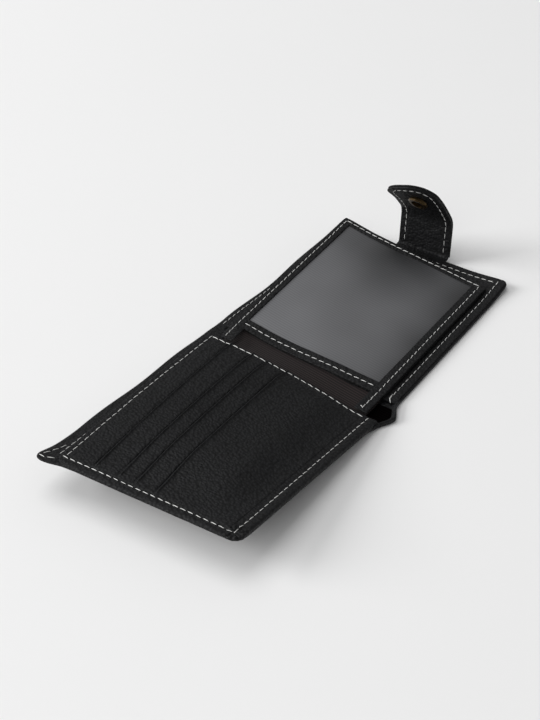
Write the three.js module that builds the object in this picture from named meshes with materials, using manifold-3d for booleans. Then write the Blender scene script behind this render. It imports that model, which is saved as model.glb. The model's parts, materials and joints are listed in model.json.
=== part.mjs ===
// A bifold leather wallet, lying open: the rear half flat on the table, the front half raised at its free
// end, a window flap that turns like a page, and a strap with a press snap standing at the far edge.
// Millimetres. The origin is the centre of the rear half's underside, +X points to the strap,
// +Y to the mouth of the bill compartment and +Z up.

import * as THREE from "three";
import { mergeVertices } from "three/addons/utils/BufferGeometryUtils.js";
import Module from "manifold-3d";

const wasm = await Module();
wasm.setup();

// Overall sizes of the open wallet
const WALLET_HEIGHT = 94; // along Y, from the folded bottom edge to the bill opening
const REAR_LENGTH = 105; // along X, from the rear crease to the far edge
const FRONT_OVERHANG = 0.5; // how much longer the front half is than the rear
const SPINE_WIDTH = 14.5; // between the two creases, the room inside the closed wallet
const CORNER_RADIUS = 4;
const FRONT_TILT = 8; // degrees that the front half's free end is raised

// Leather, lining and board
const COVER_LEATHER = 1.0;
const HEM_FOLD = 0.8; // the cover's edge, thinned and turned in
const HEM_WIDTH = 9;
const BOARD = 0.35;
const LINING = 0.3;
const PANEL_LEATHER = 0.6;
const POCKET_LEATHER = 0.5;
const BORDER_LEATHER = 0.6;
const FILM = 0.2;
const THREAD_WIDTH = 0.7;
const THREAD_HEIGHT = 0.35;

// Clearances
const LAYER_GAP = 0.3; // between layers that lie on each other
const EDGE_GAP = 0.4; // between pieces that lie side by side
const BILL_GAP = 0.5; // the empty bill compartment
const CREASE_GAP = 0.15; // at each side of a crease, and above its leather

// Edges of the inner layers, measured in from the cover's edges
const INNER_INSET = 0.8; // of the divider and the panels, at the sewn edges
const CREASE_INSET = 0.6; // of the divider and the panels, at the crease
const DIVIDER_DROP = 3; // of the divider's top edge below the cover's
const PANEL_DROP = 6; // of the panels' top edge below the cover's
const SEAM_INSET = 4.3; // of the rows of thread along the sewn edges
const FREE_SEAM_INSET = 4; // of the row along the front half's free edge
const HEM_SEAM_INSET = 1.6; // of the rows along the cover's top edge
const SEAM_START = 2; // of the rows of thread from a crease

// Card pockets, each step measured from the pocket edge before it, the first from the panel's top edge
const FIRST_SLOT_STEP = 13.3;
const SECOND_SLOT_STEP = 11.3;
const THIRD_SLOT_STEP = 7.8;
const FOURTH_SLOT_STEP = 9.8;
const POCKET_CREASE_INSET = 1;
const POCKET_MARGIN = 7.2; // from the sewn edges
const SLIP_POCKET_DROP = 20; // of the rear slip pocket's edge below the cover's top edge

// Window flap
const FLAP_HEIGHT = 78;
const FLAP_SHIFT = -1.5; // of its middle along Y
const FLAP_FAR_MARGIN = 7.5; // from its far edge to the rear half's
const FLAP_HINGE_INSET = 0.5; // of its hinge line from the rear crease
const FLAP_ROOT_GAP = 0.4; // from its hinge line to its leather
const FLAP_LIFT = 0.6; // degrees that it stands open
const FLAP_CORNER = 3;
const BORDER_WIDTH = 6;
const STRIP_WIDTH = 6.3;
const FLAP_SEAM_INSET = 3;
const FILM_INSET = 1.5;

// Strap
const TAB_WIDTH = 27;
const TAB_SHIFT = -0.5; // of its middle along Y
const TAB_STANDOFF = 1.2; // of its fold from the rear half's far edge
const TAB_LEATHER = 0.8;
const TAB_ROOT_LENGTH = 8; // sewn in between the cover's hem and the divider
const TAB_ROOT_LEATHER = 0.35;
const TAB_TIP_LENGTH = 31;
const TAB_TIP_WIDTH = 25.5; // at its end
const TAB_TIP_RADIUS = 9;
const TAB_SEAM_INSET = 3;
const TAB_LEAN = 3; // degrees that its lower part leans outwards
const TAB_BEND = 37; // degrees that its tip bends inwards from the lower part

// Press snap
const SNAP_REACH = 15.5; // from the strap's crease to the snap
const CAP_RADIUS = 6.2;
const CAP_RIM = 0.4;
const CAP_RISE = 1; // of its dome above the rim
const POST_RADIUS = 1.5;
const SOCKET_RADIUS = 4.7;
const SOCKET_DEPTH = 1.6;
const SOCKET_CHAMFER = 0.6;
const STUD_RADIUS = 2.5;
const STUD_HEIGHT = 1.6;
const STUD_WALL = 1; // of metal between its bore and its end
const STUD_FLANGE_RADIUS = 5;
const STUD_FLANGE = 0.6;
const RIVET_RADIUS = 4;

// Smoothness of the round stretches
const CURVE_STEPS = 4;
const SNAP_SIDES = 24;

// Places worked out from the sizes
const FRONT_LENGTH = REAR_LENGTH + FRONT_OVERHANG;
const HALF_HEIGHT = WALLET_HEIGHT / 2;
const REAR_CREASE_X = -REAR_LENGTH / 2;

const HEM_TOP = COVER_LEATHER + HEM_FOLD;
const BOARD_Z = COVER_LEATHER + LAYER_GAP;
const LINING_Z = BOARD_Z + BOARD + LAYER_GAP;
const TAB_ROOT_Z = HEM_TOP + LAYER_GAP;
const DIVIDER_Z = Math.max(LINING_Z + LINING + BILL_GAP, TAB_ROOT_Z + TAB_ROOT_LEATHER + LAYER_GAP);
const PANEL_Z = DIVIDER_Z + LINING + LAYER_GAP;
const POCKET_Z = PANEL_Z + PANEL_LEATHER + LAYER_GAP;
const POCKET_STEP = POCKET_LEATHER + LAYER_GAP;
const SPINE_LINING_Z = COVER_LEATHER + LAYER_GAP;
const CREASE_Z = Math.max(HEM_TOP, SPINE_LINING_Z + LINING) + CREASE_GAP;
const CLOSED_THICKNESS = SPINE_WIDTH + 2 * CREASE_Z;

const PANEL_LOW = -HALF_HEIGHT + INNER_INSET;
const PANEL_HIGH = HALF_HEIGHT - PANEL_DROP;
const POCKET_LOW = -HALF_HEIGHT + POCKET_MARGIN;

// Finishes
const FINISHES = {
  leather: { color: 0x25272a, roughness: 0.6, metalness: 0 },
  lining: { color: 0x362b29, roughness: 0.85, metalness: 0 },
  board: { color: 0x8f8474, roughness: 0.9, metalness: 0 },
  film: { color: 0x77787a, roughness: 0.15, metalness: 0 },
  thread: { color: 0xdcdcd8, roughness: 0.7, metalness: 0 },
  brass: { color: 0xb98d4c, roughness: 0.3, metalness: 1 },
};

// Adds a named sub-part with a material of its own
function add(parent, name, geometry, finish) {
  const mesh = new THREE.Mesh(geometry, new THREE.MeshStandardMaterial(FINISHES[finish]));
  mesh.name = name;
  parent.add(mesh);
}

function group(parent, x, y, z) {
  const made = new THREE.Group();
  made.position.set(x, y, z);
  parent.add(made);
  return made;
}

// A sheet outline from near to far along X, its two far corners round. Side is 1 for +X and -1 for -X.
function sheet(side, near, far, low, high, radius) {
  const shape = new THREE.Shape();
  shape.moveTo(side * near, low);
  shape.lineTo(side * (far - radius), low);
  shape.quadraticCurveTo(side * far, low, side * far, low + radius);
  shape.lineTo(side * far, high - radius);
  shape.quadraticCurveTo(side * far, high, side * (far - radius), high);
  shape.lineTo(side * near, high);
  return shape;
}

function rectangle(left, right, low, high) {
  const shape = new THREE.Shape();
  shape.moveTo(left, low);
  shape.lineTo(right, low);
  shape.lineTo(right, high);
  shape.lineTo(left, high);
  return shape;
}

// The outline of a row of thread along the given points, with mitred corners
function row(points) {
  const left = [];
  const right = [];
  points.forEach(([x, y], index) => {
    const [x0, y0] = points[Math.max(index - 1, 0)];
    const [x1, y1] = points[Math.min(index + 1, points.length - 1)];
    const here = new THREE.Vector2(x, y);
    const into = here.clone().sub(new THREE.Vector2(x0, y0)).normalize();
    const outOf = new THREE.Vector2(x1, y1).sub(here).normalize();
    const first = index === 0 ? outOf : into;
    const second = index === points.length - 1 ? into : outOf;
    const normal = new THREE.Vector2(-first.y, first.x);
    const mitre = normal.clone().add(new THREE.Vector2(-second.y, second.x)).normalize();
    mitre.multiplyScalar(THREAD_WIDTH / 2 / mitre.dot(normal));
    left.push(here.clone().add(mitre));
    right.unshift(here.clone().sub(mitre));
  });
  return new THREE.Shape([...left, ...right]);
}

// Adds a round hole to an outline
function hole(shape, x, y, radius) {
  const rim = Array.from({ length: SNAP_SIDES }, (_, index) => {
    const angle = (index / SNAP_SIDES) * 2 * Math.PI;
    return new THREE.Vector2(x + radius * Math.cos(angle), y + radius * Math.sin(angle));
  });
  shape.holes.push(new THREE.Path(rim));
  return shape;
}

// A flat sheet of the given outline
function plate(shape, bottom, thickness) {
  const settings = { depth: thickness, bevelEnabled: false, curveSegments: CURVE_STEPS };
  return new THREE.ExtrudeGeometry(shape, settings).translate(0, 0, bottom);
}

function solid(geometry) {
  const bare = geometry.clone();
  bare.deleteAttribute("normal");
  bare.deleteAttribute("uv");
  const merged = mergeVertices(bare);
  const vertProperties = new Float32Array(merged.getAttribute("position").array);
  const triVerts = new Uint32Array(merged.index.array);
  return new wasm.Manifold(new wasm.Mesh({ numProp: 3, vertProperties, triVerts }));
}

function cut(body, tool) {
  const mesh = solid(body).subtract(solid(tool)).getMesh();
  const geometry = new THREE.BufferGeometry();
  geometry.setAttribute("position", new THREE.BufferAttribute(mesh.vertProperties, 3));
  geometry.setIndex(new THREE.BufferAttribute(mesh.triVerts, 1));
  geometry.computeVertexNormals();
  return geometry;
}

function turned(profile) {
  const points = profile.map(([radius, height]) => new THREE.Vector2(radius, height));
  return new THREE.LatheGeometry(points, SNAP_SIDES);
}

// One half of the outer cover: a sheet of leather with its three free edges turned in
function cover(outline, side, length) {
  const inner = HALF_HEIGHT - HEM_WIDTH;
  const recess = rectangle(-side * HEM_WIDTH, side * (length - HEM_WIDTH), -inner, inner);
  return cut(plate(outline, 0, HEM_TOP), plate(recess, COVER_LEATHER, 2 * HEM_FOLD));
}

function coverOutline(side, length) {
  return sheet(side, CREASE_GAP, length, -HALF_HEIGHT, HALF_HEIGHT, CORNER_RADIUS);
}

// The outline of a layer inside the cover's hem
function insideHem(side, length) {
  const inner = HALF_HEIGHT - HEM_WIDTH - EDGE_GAP;
  return rectangle(side * CREASE_INSET, side * (length - HEM_WIDTH - EDGE_GAP), -inner, inner);
}

// The outline of a layer that is sewn to the cover's edges, up to the given height
function sewnIn(side, length, high) {
  const radius = CORNER_RADIUS - INNER_INSET;
  return sheet(side, CREASE_INSET, length - INNER_INSET, PANEL_LOW, high, radius);
}

// Thread along the bottom edge and up the free edge, to the panel's top edge
function edgeSeam(side, length, farInset) {
  const low = -HALF_HEIGHT + SEAM_INSET;
  const far = side * (length - farInset);
  return row([[side * SEAM_START, low], [far, low], [far, PANEL_HIGH - SEAM_START]]);
}

// Thread along a top edge
function topSeam(side, length, y) {
  return row([[side * SEAM_START, y], [side * (length - 2 * SEAM_INSET), y]]);
}

const wallet = new THREE.Group();

// Rear half, from the rear crease along +X
function buildRear() {
  const rear = group(wallet, REAR_CREASE_X, 0, 0);
  const length = REAR_LENGTH;
  add(rear, "rear_cover", cover(coverOutline(1, length), 1, length), "leather");
  add(rear, "rear_stiffener", plate(insideHem(1, length), BOARD_Z, BOARD), "board");
  add(rear, "rear_bill_lining", plate(insideHem(1, length), LINING_Z, LINING), "lining");
  const dividerHigh = HALF_HEIGHT - DIVIDER_DROP;
  add(rear, "rear_divider", plate(sewnIn(1, length, dividerHigh), DIVIDER_Z, LINING), "leather");
  add(rear, "rear_panel", plate(sewnIn(1, length, PANEL_HIGH), PANEL_Z, PANEL_LEATHER), "leather");
  const pocketHigh = HALF_HEIGHT - SLIP_POCKET_DROP;
  const pocket = rectangle(POCKET_CREASE_INSET, length - POCKET_MARGIN, POCKET_LOW, pocketHigh);
  add(rear, "rear_pocket", plate(pocket, POCKET_Z, POCKET_LEATHER), "leather");
  add(rear, "rear_seam_thread", plate(edgeSeam(1, length, SEAM_INSET), POCKET_Z, THREAD_HEIGHT), "thread");
  const hemRow = topSeam(1, length, HALF_HEIGHT - HEM_SEAM_INSET);
  add(rear, "rear_hem_thread", plate(hemRow, HEM_TOP + LAYER_GAP, THREAD_HEIGHT), "thread");
  const rootEnd = length + TAB_STANDOFF - EDGE_GAP;
  const rootLow = TAB_SHIFT - TAB_WIDTH / 2;
  const root = rectangle(length - TAB_ROOT_LENGTH, rootEnd, rootLow, rootLow + TAB_WIDTH);
  add(rear, "tab_root", plate(root, TAB_ROOT_Z, TAB_ROOT_LEATHER), "leather");
}

// Spine strip between the two creases
function buildSpine() {
  const spine = group(wallet, REAR_CREASE_X, 0, 0);
  const strip = rectangle(CREASE_GAP - SPINE_WIDTH, -CREASE_GAP, -HALF_HEIGHT, HALF_HEIGHT);
  const inner = HALF_HEIGHT - HEM_WIDTH;
  const recess = rectangle(-2 * SPINE_WIDTH, SPINE_WIDTH, -inner, inner);
  const leather = cut(plate(strip, 0, HEM_TOP), plate(recess, COVER_LEATHER, 2 * HEM_FOLD));
  add(spine, "spine_cover", leather, "leather");
  const high = inner - EDGE_GAP;
  const lining = rectangle(EDGE_GAP - SPINE_WIDTH, -EDGE_GAP, -high, high);
  add(spine, "spine_lining", plate(lining, SPINE_LINING_Z, LINING), "lining");
}

// Upper edges of the card pockets, from the first to the fourth
const SLOT_STEPS = [FIRST_SLOT_STEP, SECOND_SLOT_STEP, THIRD_SLOT_STEP, FOURTH_SLOT_STEP];
const SLOT_EDGES = SLOT_STEPS.map((_, index) => {
  const drops = SLOT_STEPS.slice(0, index + 1);
  return PANEL_HIGH - drops.reduce((sum, drop) => sum + drop);
});

// Thread along the card panel's spine edge, which climbs each pocket edge in turn
function steppedRow() {
  const points = [[PANEL_HIGH - PANEL_DROP / 2, PANEL_Z + PANEL_LEATHER]];
  SLOT_EDGES.forEach((edge, index) => {
    const climb = edge + LAYER_GAP + THREAD_WIDTH / 2;
    const level = POCKET_Z + index * POCKET_STEP + POCKET_LEATHER;
    points.push([climb, points[points.length - 1][1]]);
    points.push([climb, level]);
  });
  points.push([POCKET_LOW, points[points.length - 1][1]]);
  const lift = LAYER_GAP + THREAD_WIDTH / 2;
  const geometry = plate(row(points.map(([y, z]) => [y, z + lift])), 0, THREAD_WIDTH);
  const axes = [new THREE.Vector3(0, 1, 0), new THREE.Vector3(0, 0, 1), new THREE.Vector3(1, 0, 0)];
  return geometry.applyMatrix4(new THREE.Matrix4().makeBasis(...axes));
}

// Distance of the stud from the front crease: under the snap's socket when the wallet is shut
const STUD_X = -(REAR_LENGTH + TAB_STANDOFF - SNAP_REACH);

// The snap's mating half, on the front cover's outer face
function buildStud(front) {
  const top = -LAYER_GAP;
  const flange = top - STUD_FLANGE;
  const end = flange - STUD_HEIGHT;
  const bore = POST_RADIUS + EDGE_GAP;
  const floor = end + STUD_WALL;
  const neck = (STUD_RADIUS + bore) / 2;
  const stud = turned([
    [0, end],
    [bore, end],
    [STUD_RADIUS, end + STUD_HEIGHT / 4],
    [STUD_RADIUS, end + STUD_HEIGHT / 2],
    [neck, flange - STUD_HEIGHT / 4],
    [neck, flange],
    [STUD_FLANGE_RADIUS, flange],
    [STUD_FLANGE_RADIUS, top],
    [bore, top],
    [bore, floor],
    [0, floor],
  ]);
  add(front, "snap_stud", stud.rotateX(Math.PI / 2).translate(STUD_X, TAB_SHIFT, 0), "brass");
  const rivet = turned([
    [0, floor + LAYER_GAP],
    [POST_RADIUS, floor + LAYER_GAP],
    [POST_RADIUS, BOARD_Z],
    [RIVET_RADIUS, BOARD_Z],
    [RIVET_RADIUS, BOARD_Z + BOARD],
    [0, BOARD_Z + BOARD],
  ]);
  add(front, "snap_rivet", rivet.rotateX(Math.PI / 2).translate(STUD_X, TAB_SHIFT, 0), "brass");
}

// Front half, from the front crease along -X, raised at its free end
function buildFront() {
  const pivot = group(wallet, REAR_CREASE_X - SPINE_WIDTH, 0, CREASE_Z);
  pivot.rotation.y = THREE.MathUtils.degToRad(FRONT_TILT);
  const front = group(pivot, 0, 0, -CREASE_Z);
  const length = FRONT_LENGTH;
  const outline = hole(coverOutline(-1, length), STUD_X, TAB_SHIFT, POST_RADIUS + EDGE_GAP);
  add(front, "front_cover", cover(outline, -1, length), "leather");
  const board = hole(insideHem(-1, length), STUD_X, TAB_SHIFT, RIVET_RADIUS + EDGE_GAP);
  add(front, "front_stiffener", plate(board, BOARD_Z, BOARD), "board");
  add(front, "front_bill_lining", plate(insideHem(-1, length), LINING_Z, LINING), "lining");
  const dividerHigh = HALF_HEIGHT - DIVIDER_DROP;
  add(front, "front_divider", plate(sewnIn(-1, length, dividerHigh), DIVIDER_Z, LINING), "leather");
  add(front, "front_panel", plate(sewnIn(-1, length, PANEL_HIGH), PANEL_Z, PANEL_LEATHER), "leather");
  SLOT_EDGES.forEach((edge, index) => {
    const pocket = rectangle(POCKET_MARGIN - length, -POCKET_CREASE_INSET, POCKET_LOW, edge);
    const bottom = POCKET_Z + index * POCKET_STEP;
    add(front, `card_pocket_${index + 1}`, plate(pocket, bottom, POCKET_LEATHER), "leather");
  });
  const edgeRow = edgeSeam(-1, length, FREE_SEAM_INSET);
  add(front, "front_seam_thread", plate(edgeRow, POCKET_Z, THREAD_HEIGHT), "thread");
  const panelRow = topSeam(-1, length, PANEL_HIGH - SEAM_START);
  add(front, "front_panel_thread", plate(panelRow, POCKET_Z, THREAD_HEIGHT), "thread");
  const stepped = steppedRow().translate(-SEAM_START - THREAD_WIDTH, 0, 0);
  add(front, "card_panel_thread", stepped, "thread");
  const dividerRow = topSeam(-1, length, (dividerHigh + PANEL_HIGH) / 2);
  const dividerRowZ = DIVIDER_Z + LINING + LAYER_GAP;
  add(front, "front_divider_thread", plate(dividerRow, dividerRowZ, THREAD_HEIGHT), "thread");
  const hemRow = topSeam(-1, length, HALF_HEIGHT - HEM_SEAM_INSET);
  add(front, "front_hem_thread", plate(hemRow, HEM_TOP + LAYER_GAP, THREAD_HEIGHT), "thread");
  buildStud(front);
}

// Leather border round three sides of the window, open towards the spine
function borderOutline(near, far, low, high) {
  const shape = sheet(1, near, far, low, high, FLAP_CORNER);
  shape.lineTo(near, high - BORDER_WIDTH);
  shape.lineTo(far - BORDER_WIDTH, high - BORDER_WIDTH);
  shape.lineTo(far - BORDER_WIDTH, low + BORDER_WIDTH);
  shape.lineTo(near, low + BORDER_WIDTH);
  return shape;
}

// Window flap: back, lining, clear film, border and the strip along the window pocket's mouth
function buildFlap() {
  const backZ = POCKET_Z + POCKET_STEP;
  const liningZ = backZ + PANEL_LEATHER + LAYER_GAP;
  const filmZ = liningZ + LINING + LAYER_GAP;
  const borderZ = filmZ + FILM + LAYER_GAP;
  const threadZ = borderZ + BORDER_LEATHER + LAYER_GAP;
  const hingeZ = threadZ + THREAD_HEIGHT + LAYER_GAP;
  const pivot = group(wallet, REAR_CREASE_X + FLAP_HINGE_INSET, FLAP_SHIFT, hingeZ);
  pivot.rotation.y = -THREE.MathUtils.degToRad(FLAP_LIFT);
  const flap = group(pivot, 0, 0, -hingeZ);
  const near = FLAP_ROOT_GAP;
  const far = REAR_LENGTH - FLAP_HINGE_INSET - FLAP_FAR_MARGIN;
  const high = FLAP_HEIGHT / 2;
  const back = sheet(1, near, far, -high, high, FLAP_CORNER);
  add(flap, "flap_back", plate(back, backZ, PANEL_LEATHER), "leather");
  const inside = high - FILM_INSET;
  const lining = rectangle(near, far - FILM_INSET, -inside, inside);
  add(flap, "flap_lining", plate(lining, liningZ, LINING), "lining");
  const film = rectangle(near + FILM_INSET, far - FILM_INSET, -inside, inside);
  add(flap, "window_film", plate(film, filmZ, FILM), "film");
  add(flap, "flap_border", plate(borderOutline(near, far, -high, high), borderZ, BORDER_LEATHER), "leather");
  const between = high - BORDER_WIDTH - EDGE_GAP;
  const strip = rectangle(near, near + STRIP_WIDTH, -between, between);
  add(flap, "window_strip", plate(strip, borderZ, BORDER_LEATHER), "leather");
  const seamHigh = high - FLAP_SEAM_INSET;
  const seamFar = far - FLAP_SEAM_INSET;
  const seamNear = near + FLAP_SEAM_INSET / 2;
  const seam = row([[seamNear, -seamHigh], [seamFar, -seamHigh], [seamFar, seamHigh], [seamNear, seamHigh]]);
  add(flap, "flap_thread", plate(seam, threadZ, THREAD_HEIGHT), "thread");
  const stripX = near + STRIP_WIDTH / 2;
  const stripRow = row([[stripX, THREAD_WIDTH - between], [stripX, between - THREAD_WIDTH]]);
  add(flap, "window_strip_thread", plate(stripRow, threadZ, THREAD_HEIGHT), "thread");
}

// A strap layer: its outline is drawn across and along the strap, its thickness points outwards along +X
function strap(shape, from, thickness) {
  const axes = [new THREE.Vector3(0, 1, 0), new THREE.Vector3(0, 0, 1), new THREE.Vector3(1, 0, 0)];
  return plate(shape, from, thickness).applyMatrix4(new THREE.Matrix4().makeBasis(...axes));
}

// The strap's tip from its crease to its round end, drawn in by inset all round
function tipOutline(inset) {
  const base = TAB_WIDTH / 2 - inset;
  const end = TAB_TIP_WIDTH / 2 - inset;
  const radius = TAB_TIP_RADIUS - inset;
  const bottom = EDGE_GAP + inset;
  const top = TAB_TIP_LENGTH - inset;
  const shape = new THREE.Shape();
  shape.moveTo(-base, bottom);
  shape.lineTo(base, bottom);
  shape.lineTo(end, top - radius);
  shape.quadraticCurveTo(end, top, end - radius, top);
  shape.lineTo(radius - end, top);
  shape.quadraticCurveTo(-end, top, -end, top - radius);
  return shape;
}

// Closed loop of thread between an outer outline and an inner one
function loop(outer, inner) {
  outer.holes.push(new THREE.Path(inner.getPoints(CURVE_STEPS)));
  return outer;
}

// Strap: a lower part that stands at the far edge and a tip with the snap, each of two sewn layers
function buildTab() {
  const innerFrom = CREASE_GAP;
  const outerFrom = innerFrom + TAB_LEATHER + LAYER_GAP;
  const outerFace = outerFrom + TAB_LEATHER;
  const threadFrom = innerFrom - LAYER_GAP - THREAD_HEIGHT;
  const foldZ = TAB_ROOT_Z + TAB_ROOT_LEATHER / 2;
  const seatZ = CLOSED_THICKNESS + LAYER_GAP + STUD_FLANGE + LAYER_GAP;
  const lowerLength = seatZ + SOCKET_DEPTH + LAYER_GAP - foldZ;

  const lower = group(wallet, REAR_LENGTH / 2 + TAB_STANDOFF, TAB_SHIFT, foldZ);
  lower.rotation.y = THREE.MathUtils.degToRad(TAB_LEAN);
  const halfWidth = TAB_WIDTH / 2;
  const panel = (inset) => {
    const across = halfWidth - inset;
    const from = EDGE_GAP + inset;
    return rectangle(-across, across, from, lowerLength - from);
  };
  add(lower, "tab_lower_inner", strap(panel(0), innerFrom, TAB_LEATHER), "leather");
  add(lower, "tab_lower_outer", strap(panel(0), outerFrom, TAB_LEATHER), "leather");
  const lowerLoop = loop(panel(TAB_SEAM_INSET), panel(TAB_SEAM_INSET + THREAD_WIDTH));
  add(lower, "tab_lower_thread", strap(lowerLoop, threadFrom, THREAD_HEIGHT), "thread");

  const tip = group(lower, 0, 0, lowerLength);
  tip.rotation.y = -THREE.MathUtils.degToRad(TAB_BEND);
  const eyelet = POST_RADIUS + EDGE_GAP;
  const layer = () => hole(tipOutline(0), 0, SNAP_REACH, eyelet);
  add(tip, "tab_tip_inner", strap(layer(), innerFrom, TAB_LEATHER), "leather");
  add(tip, "tab_tip_outer", strap(layer(), outerFrom, TAB_LEATHER), "leather");
  const tipLoop = loop(tipOutline(TAB_SEAM_INSET), tipOutline(TAB_SEAM_INSET + THREAD_WIDTH));
  add(tip, "tab_tip_thread", strap(tipLoop, threadFrom, THREAD_HEIGHT), "thread");

  const capBase = outerFace + LAYER_GAP;
  const dome = Array.from({ length: CURVE_STEPS + 1 }, (_, index) => {
    const angle = (index / CURVE_STEPS) * Math.PI / 2;
    return [CAP_RADIUS * Math.cos(angle), capBase + CAP_RIM + CAP_RISE * Math.sin(angle)];
  });
  const cap = turned([[0, 0], [POST_RADIUS, 0], [POST_RADIUS, capBase], [CAP_RADIUS, capBase], ...dome]);
  add(tip, "snap_cap", cap.rotateZ(-Math.PI / 2).translate(0, 0, SNAP_REACH), "brass");
  const socketTop = -LAYER_GAP;
  const socketEnd = socketTop - SOCKET_DEPTH;
  const socketBore = STUD_RADIUS + EDGE_GAP;
  const socket = turned([
    [socketBore, socketEnd],
    [SOCKET_RADIUS - SOCKET_CHAMFER, socketEnd],
    [SOCKET_RADIUS, socketEnd + SOCKET_CHAMFER],
    [SOCKET_RADIUS, socketTop],
    [socketBore, socketTop],
    [socketBore, socketEnd],
  ]);
  add(tip, "snap_socket", socket.rotateZ(-Math.PI / 2).translate(0, 0, SNAP_REACH), "brass");
}

buildRear();
buildSpine();
buildFront();
buildFlap();
buildTab();

export default wallet;
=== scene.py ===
"""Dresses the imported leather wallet: cover, card panel, window flap, strap, seams and studio.

Sizes are millimetres, as in the part's source. A layer is drawn flat, in its own length and height, and a
lay then puts it in the row frame, in metres.
"""

import json
import logging
import math
from dataclasses import dataclass, field
from enum import Enum
from typing import Callable, Sequence

import bpy
import numpy as np
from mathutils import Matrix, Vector, noise


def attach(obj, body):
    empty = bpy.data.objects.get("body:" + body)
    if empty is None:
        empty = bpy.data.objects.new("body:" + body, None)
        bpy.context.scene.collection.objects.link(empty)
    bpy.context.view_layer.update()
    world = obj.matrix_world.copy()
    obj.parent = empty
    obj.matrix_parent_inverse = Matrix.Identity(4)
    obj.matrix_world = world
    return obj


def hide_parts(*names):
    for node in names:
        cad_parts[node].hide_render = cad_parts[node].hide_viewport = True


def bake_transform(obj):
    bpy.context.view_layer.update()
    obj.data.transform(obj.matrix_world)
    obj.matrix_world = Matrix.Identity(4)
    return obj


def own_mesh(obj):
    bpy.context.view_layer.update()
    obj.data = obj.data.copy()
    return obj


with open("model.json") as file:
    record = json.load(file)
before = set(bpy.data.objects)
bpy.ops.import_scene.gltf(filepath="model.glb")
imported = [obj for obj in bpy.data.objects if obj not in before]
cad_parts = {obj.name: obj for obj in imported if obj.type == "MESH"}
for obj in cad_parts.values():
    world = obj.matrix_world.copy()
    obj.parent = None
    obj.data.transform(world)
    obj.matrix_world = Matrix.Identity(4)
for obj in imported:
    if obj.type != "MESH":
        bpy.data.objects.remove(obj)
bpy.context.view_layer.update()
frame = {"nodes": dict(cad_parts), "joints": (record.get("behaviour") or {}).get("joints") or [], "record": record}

LOG = logging.getLogger("wallet")
MM = 0.001

Array = np.ndarray
Surface = Callable[[Array, Array], Array]
Lay = Callable[[Array, Array, Array], Array]
Drift = Callable[[Array, Array], tuple[Array, Array]]
Triple = tuple[float, float, float]
Reach = tuple[Sequence[float], Sequence[float]]

JOINTS = {joint["name"]: joint for joint in frame["joints"]}


def joint_place(name: str) -> Triple:
    """The joint's place at rest, in millimetres."""
    return tuple(value / MM for value in JOINTS[name]["pos_m"])


REAR_CREASE = joint_place("rear_crease")[0]
FRONT_CREASE, _, CREASE_LEVEL = joint_place("front_crease")
FRONT_TILT = 90 - JOINTS["front_crease"]["range_deg"][1]
MID_SPINE = (REAR_CREASE + FRONT_CREASE) / 2
HALF_HEIGHT = 47.0
REAR_LENGTH = 105.0
FRONT_LENGTH = 105.5


def ease(value: Array) -> Array:
    """A smooth step from 0 to 1."""
    share = np.clip(value, 0.0, 1.0)
    return share * share * (3 - 2 * share)


def ridge(value: Array, width: float) -> Array:
    """A round ridge of height 1 where value is 0."""
    return np.exp(-((value / width) ** 2))


def ripple(u: Array, y: Array, scale: float, seed: float) -> Array:
    """Smooth irregular waves from about -1 to 1.

    Args:
        u: Places along the sheet.
        y: Places across the sheet.
        scale: Length of a wave.
        seed: Which waves.

    Returns:
        The height of the waves at each place.
    """
    pairs = np.broadcast_arrays(u, y)
    flat = zip(pairs[0].ravel(), pairs[1].ravel())
    values = [noise.noise(Vector((a / scale, b / scale, seed))) for a, b in flat]
    return np.array(values).reshape(pairs[0].shape)


def plane(level: float) -> Surface:
    """A face at one level."""
    return lambda u, y: level + 0 * u


def beneath(face: Surface, depth: float) -> Surface:
    """A face that lies a depth below another."""
    return lambda u, y: face(u, y) - depth


class Slot(Enum):
    """The record's material slots."""

    LEATHER = "leather"
    LINING = "lining"
    BOARD = "board"
    FILM = "film"
    BRASS = "brass"
    THREAD = "thread"


class Face(Enum):
    """Which side of a layer a row of stitches lies on."""

    INSIDE = 1
    OUTSIDE = -1


# Shading

UNSTRETCHED: Triple = (1.0, 1.0, 1.0)
RIB_SCALE = 232.7
RIB_TURN = 4.9
RIB_WOBBLE = 0.15


class Value:
    """A shader value, whose arithmetic adds Math nodes."""

    def __init__(self, kit: "ShaderKit", socket: bpy.types.NodeSocket) -> None:
        self.kit = kit
        self.socket = socket

    def math(self, operation: str, first: object, second: object) -> "Value":
        """One Math node on two values or numbers."""
        node = self.kit.node("ShaderNodeMath", {"operation": operation}, {0: first, 1: second})
        return Value(self.kit, node.outputs[0])

    def __add__(self, other: object) -> "Value":
        """Sum."""
        return self.math("ADD", self, other)

    __radd__ = __add__

    def __sub__(self, other: object) -> "Value":
        """Difference."""
        return self.math("SUBTRACT", self, other)

    def __rsub__(self, other: object) -> "Value":
        """Difference from a number."""
        return self.math("SUBTRACT", other, self)

    def __mul__(self, other: object) -> "Value":
        """Product."""
        return self.math("MULTIPLY", self, other)

    __rmul__ = __mul__

    def at_least(self, floor: float) -> "Value":
        """The larger of this and a number."""
        return self.math("MAXIMUM", self, floor)


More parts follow.
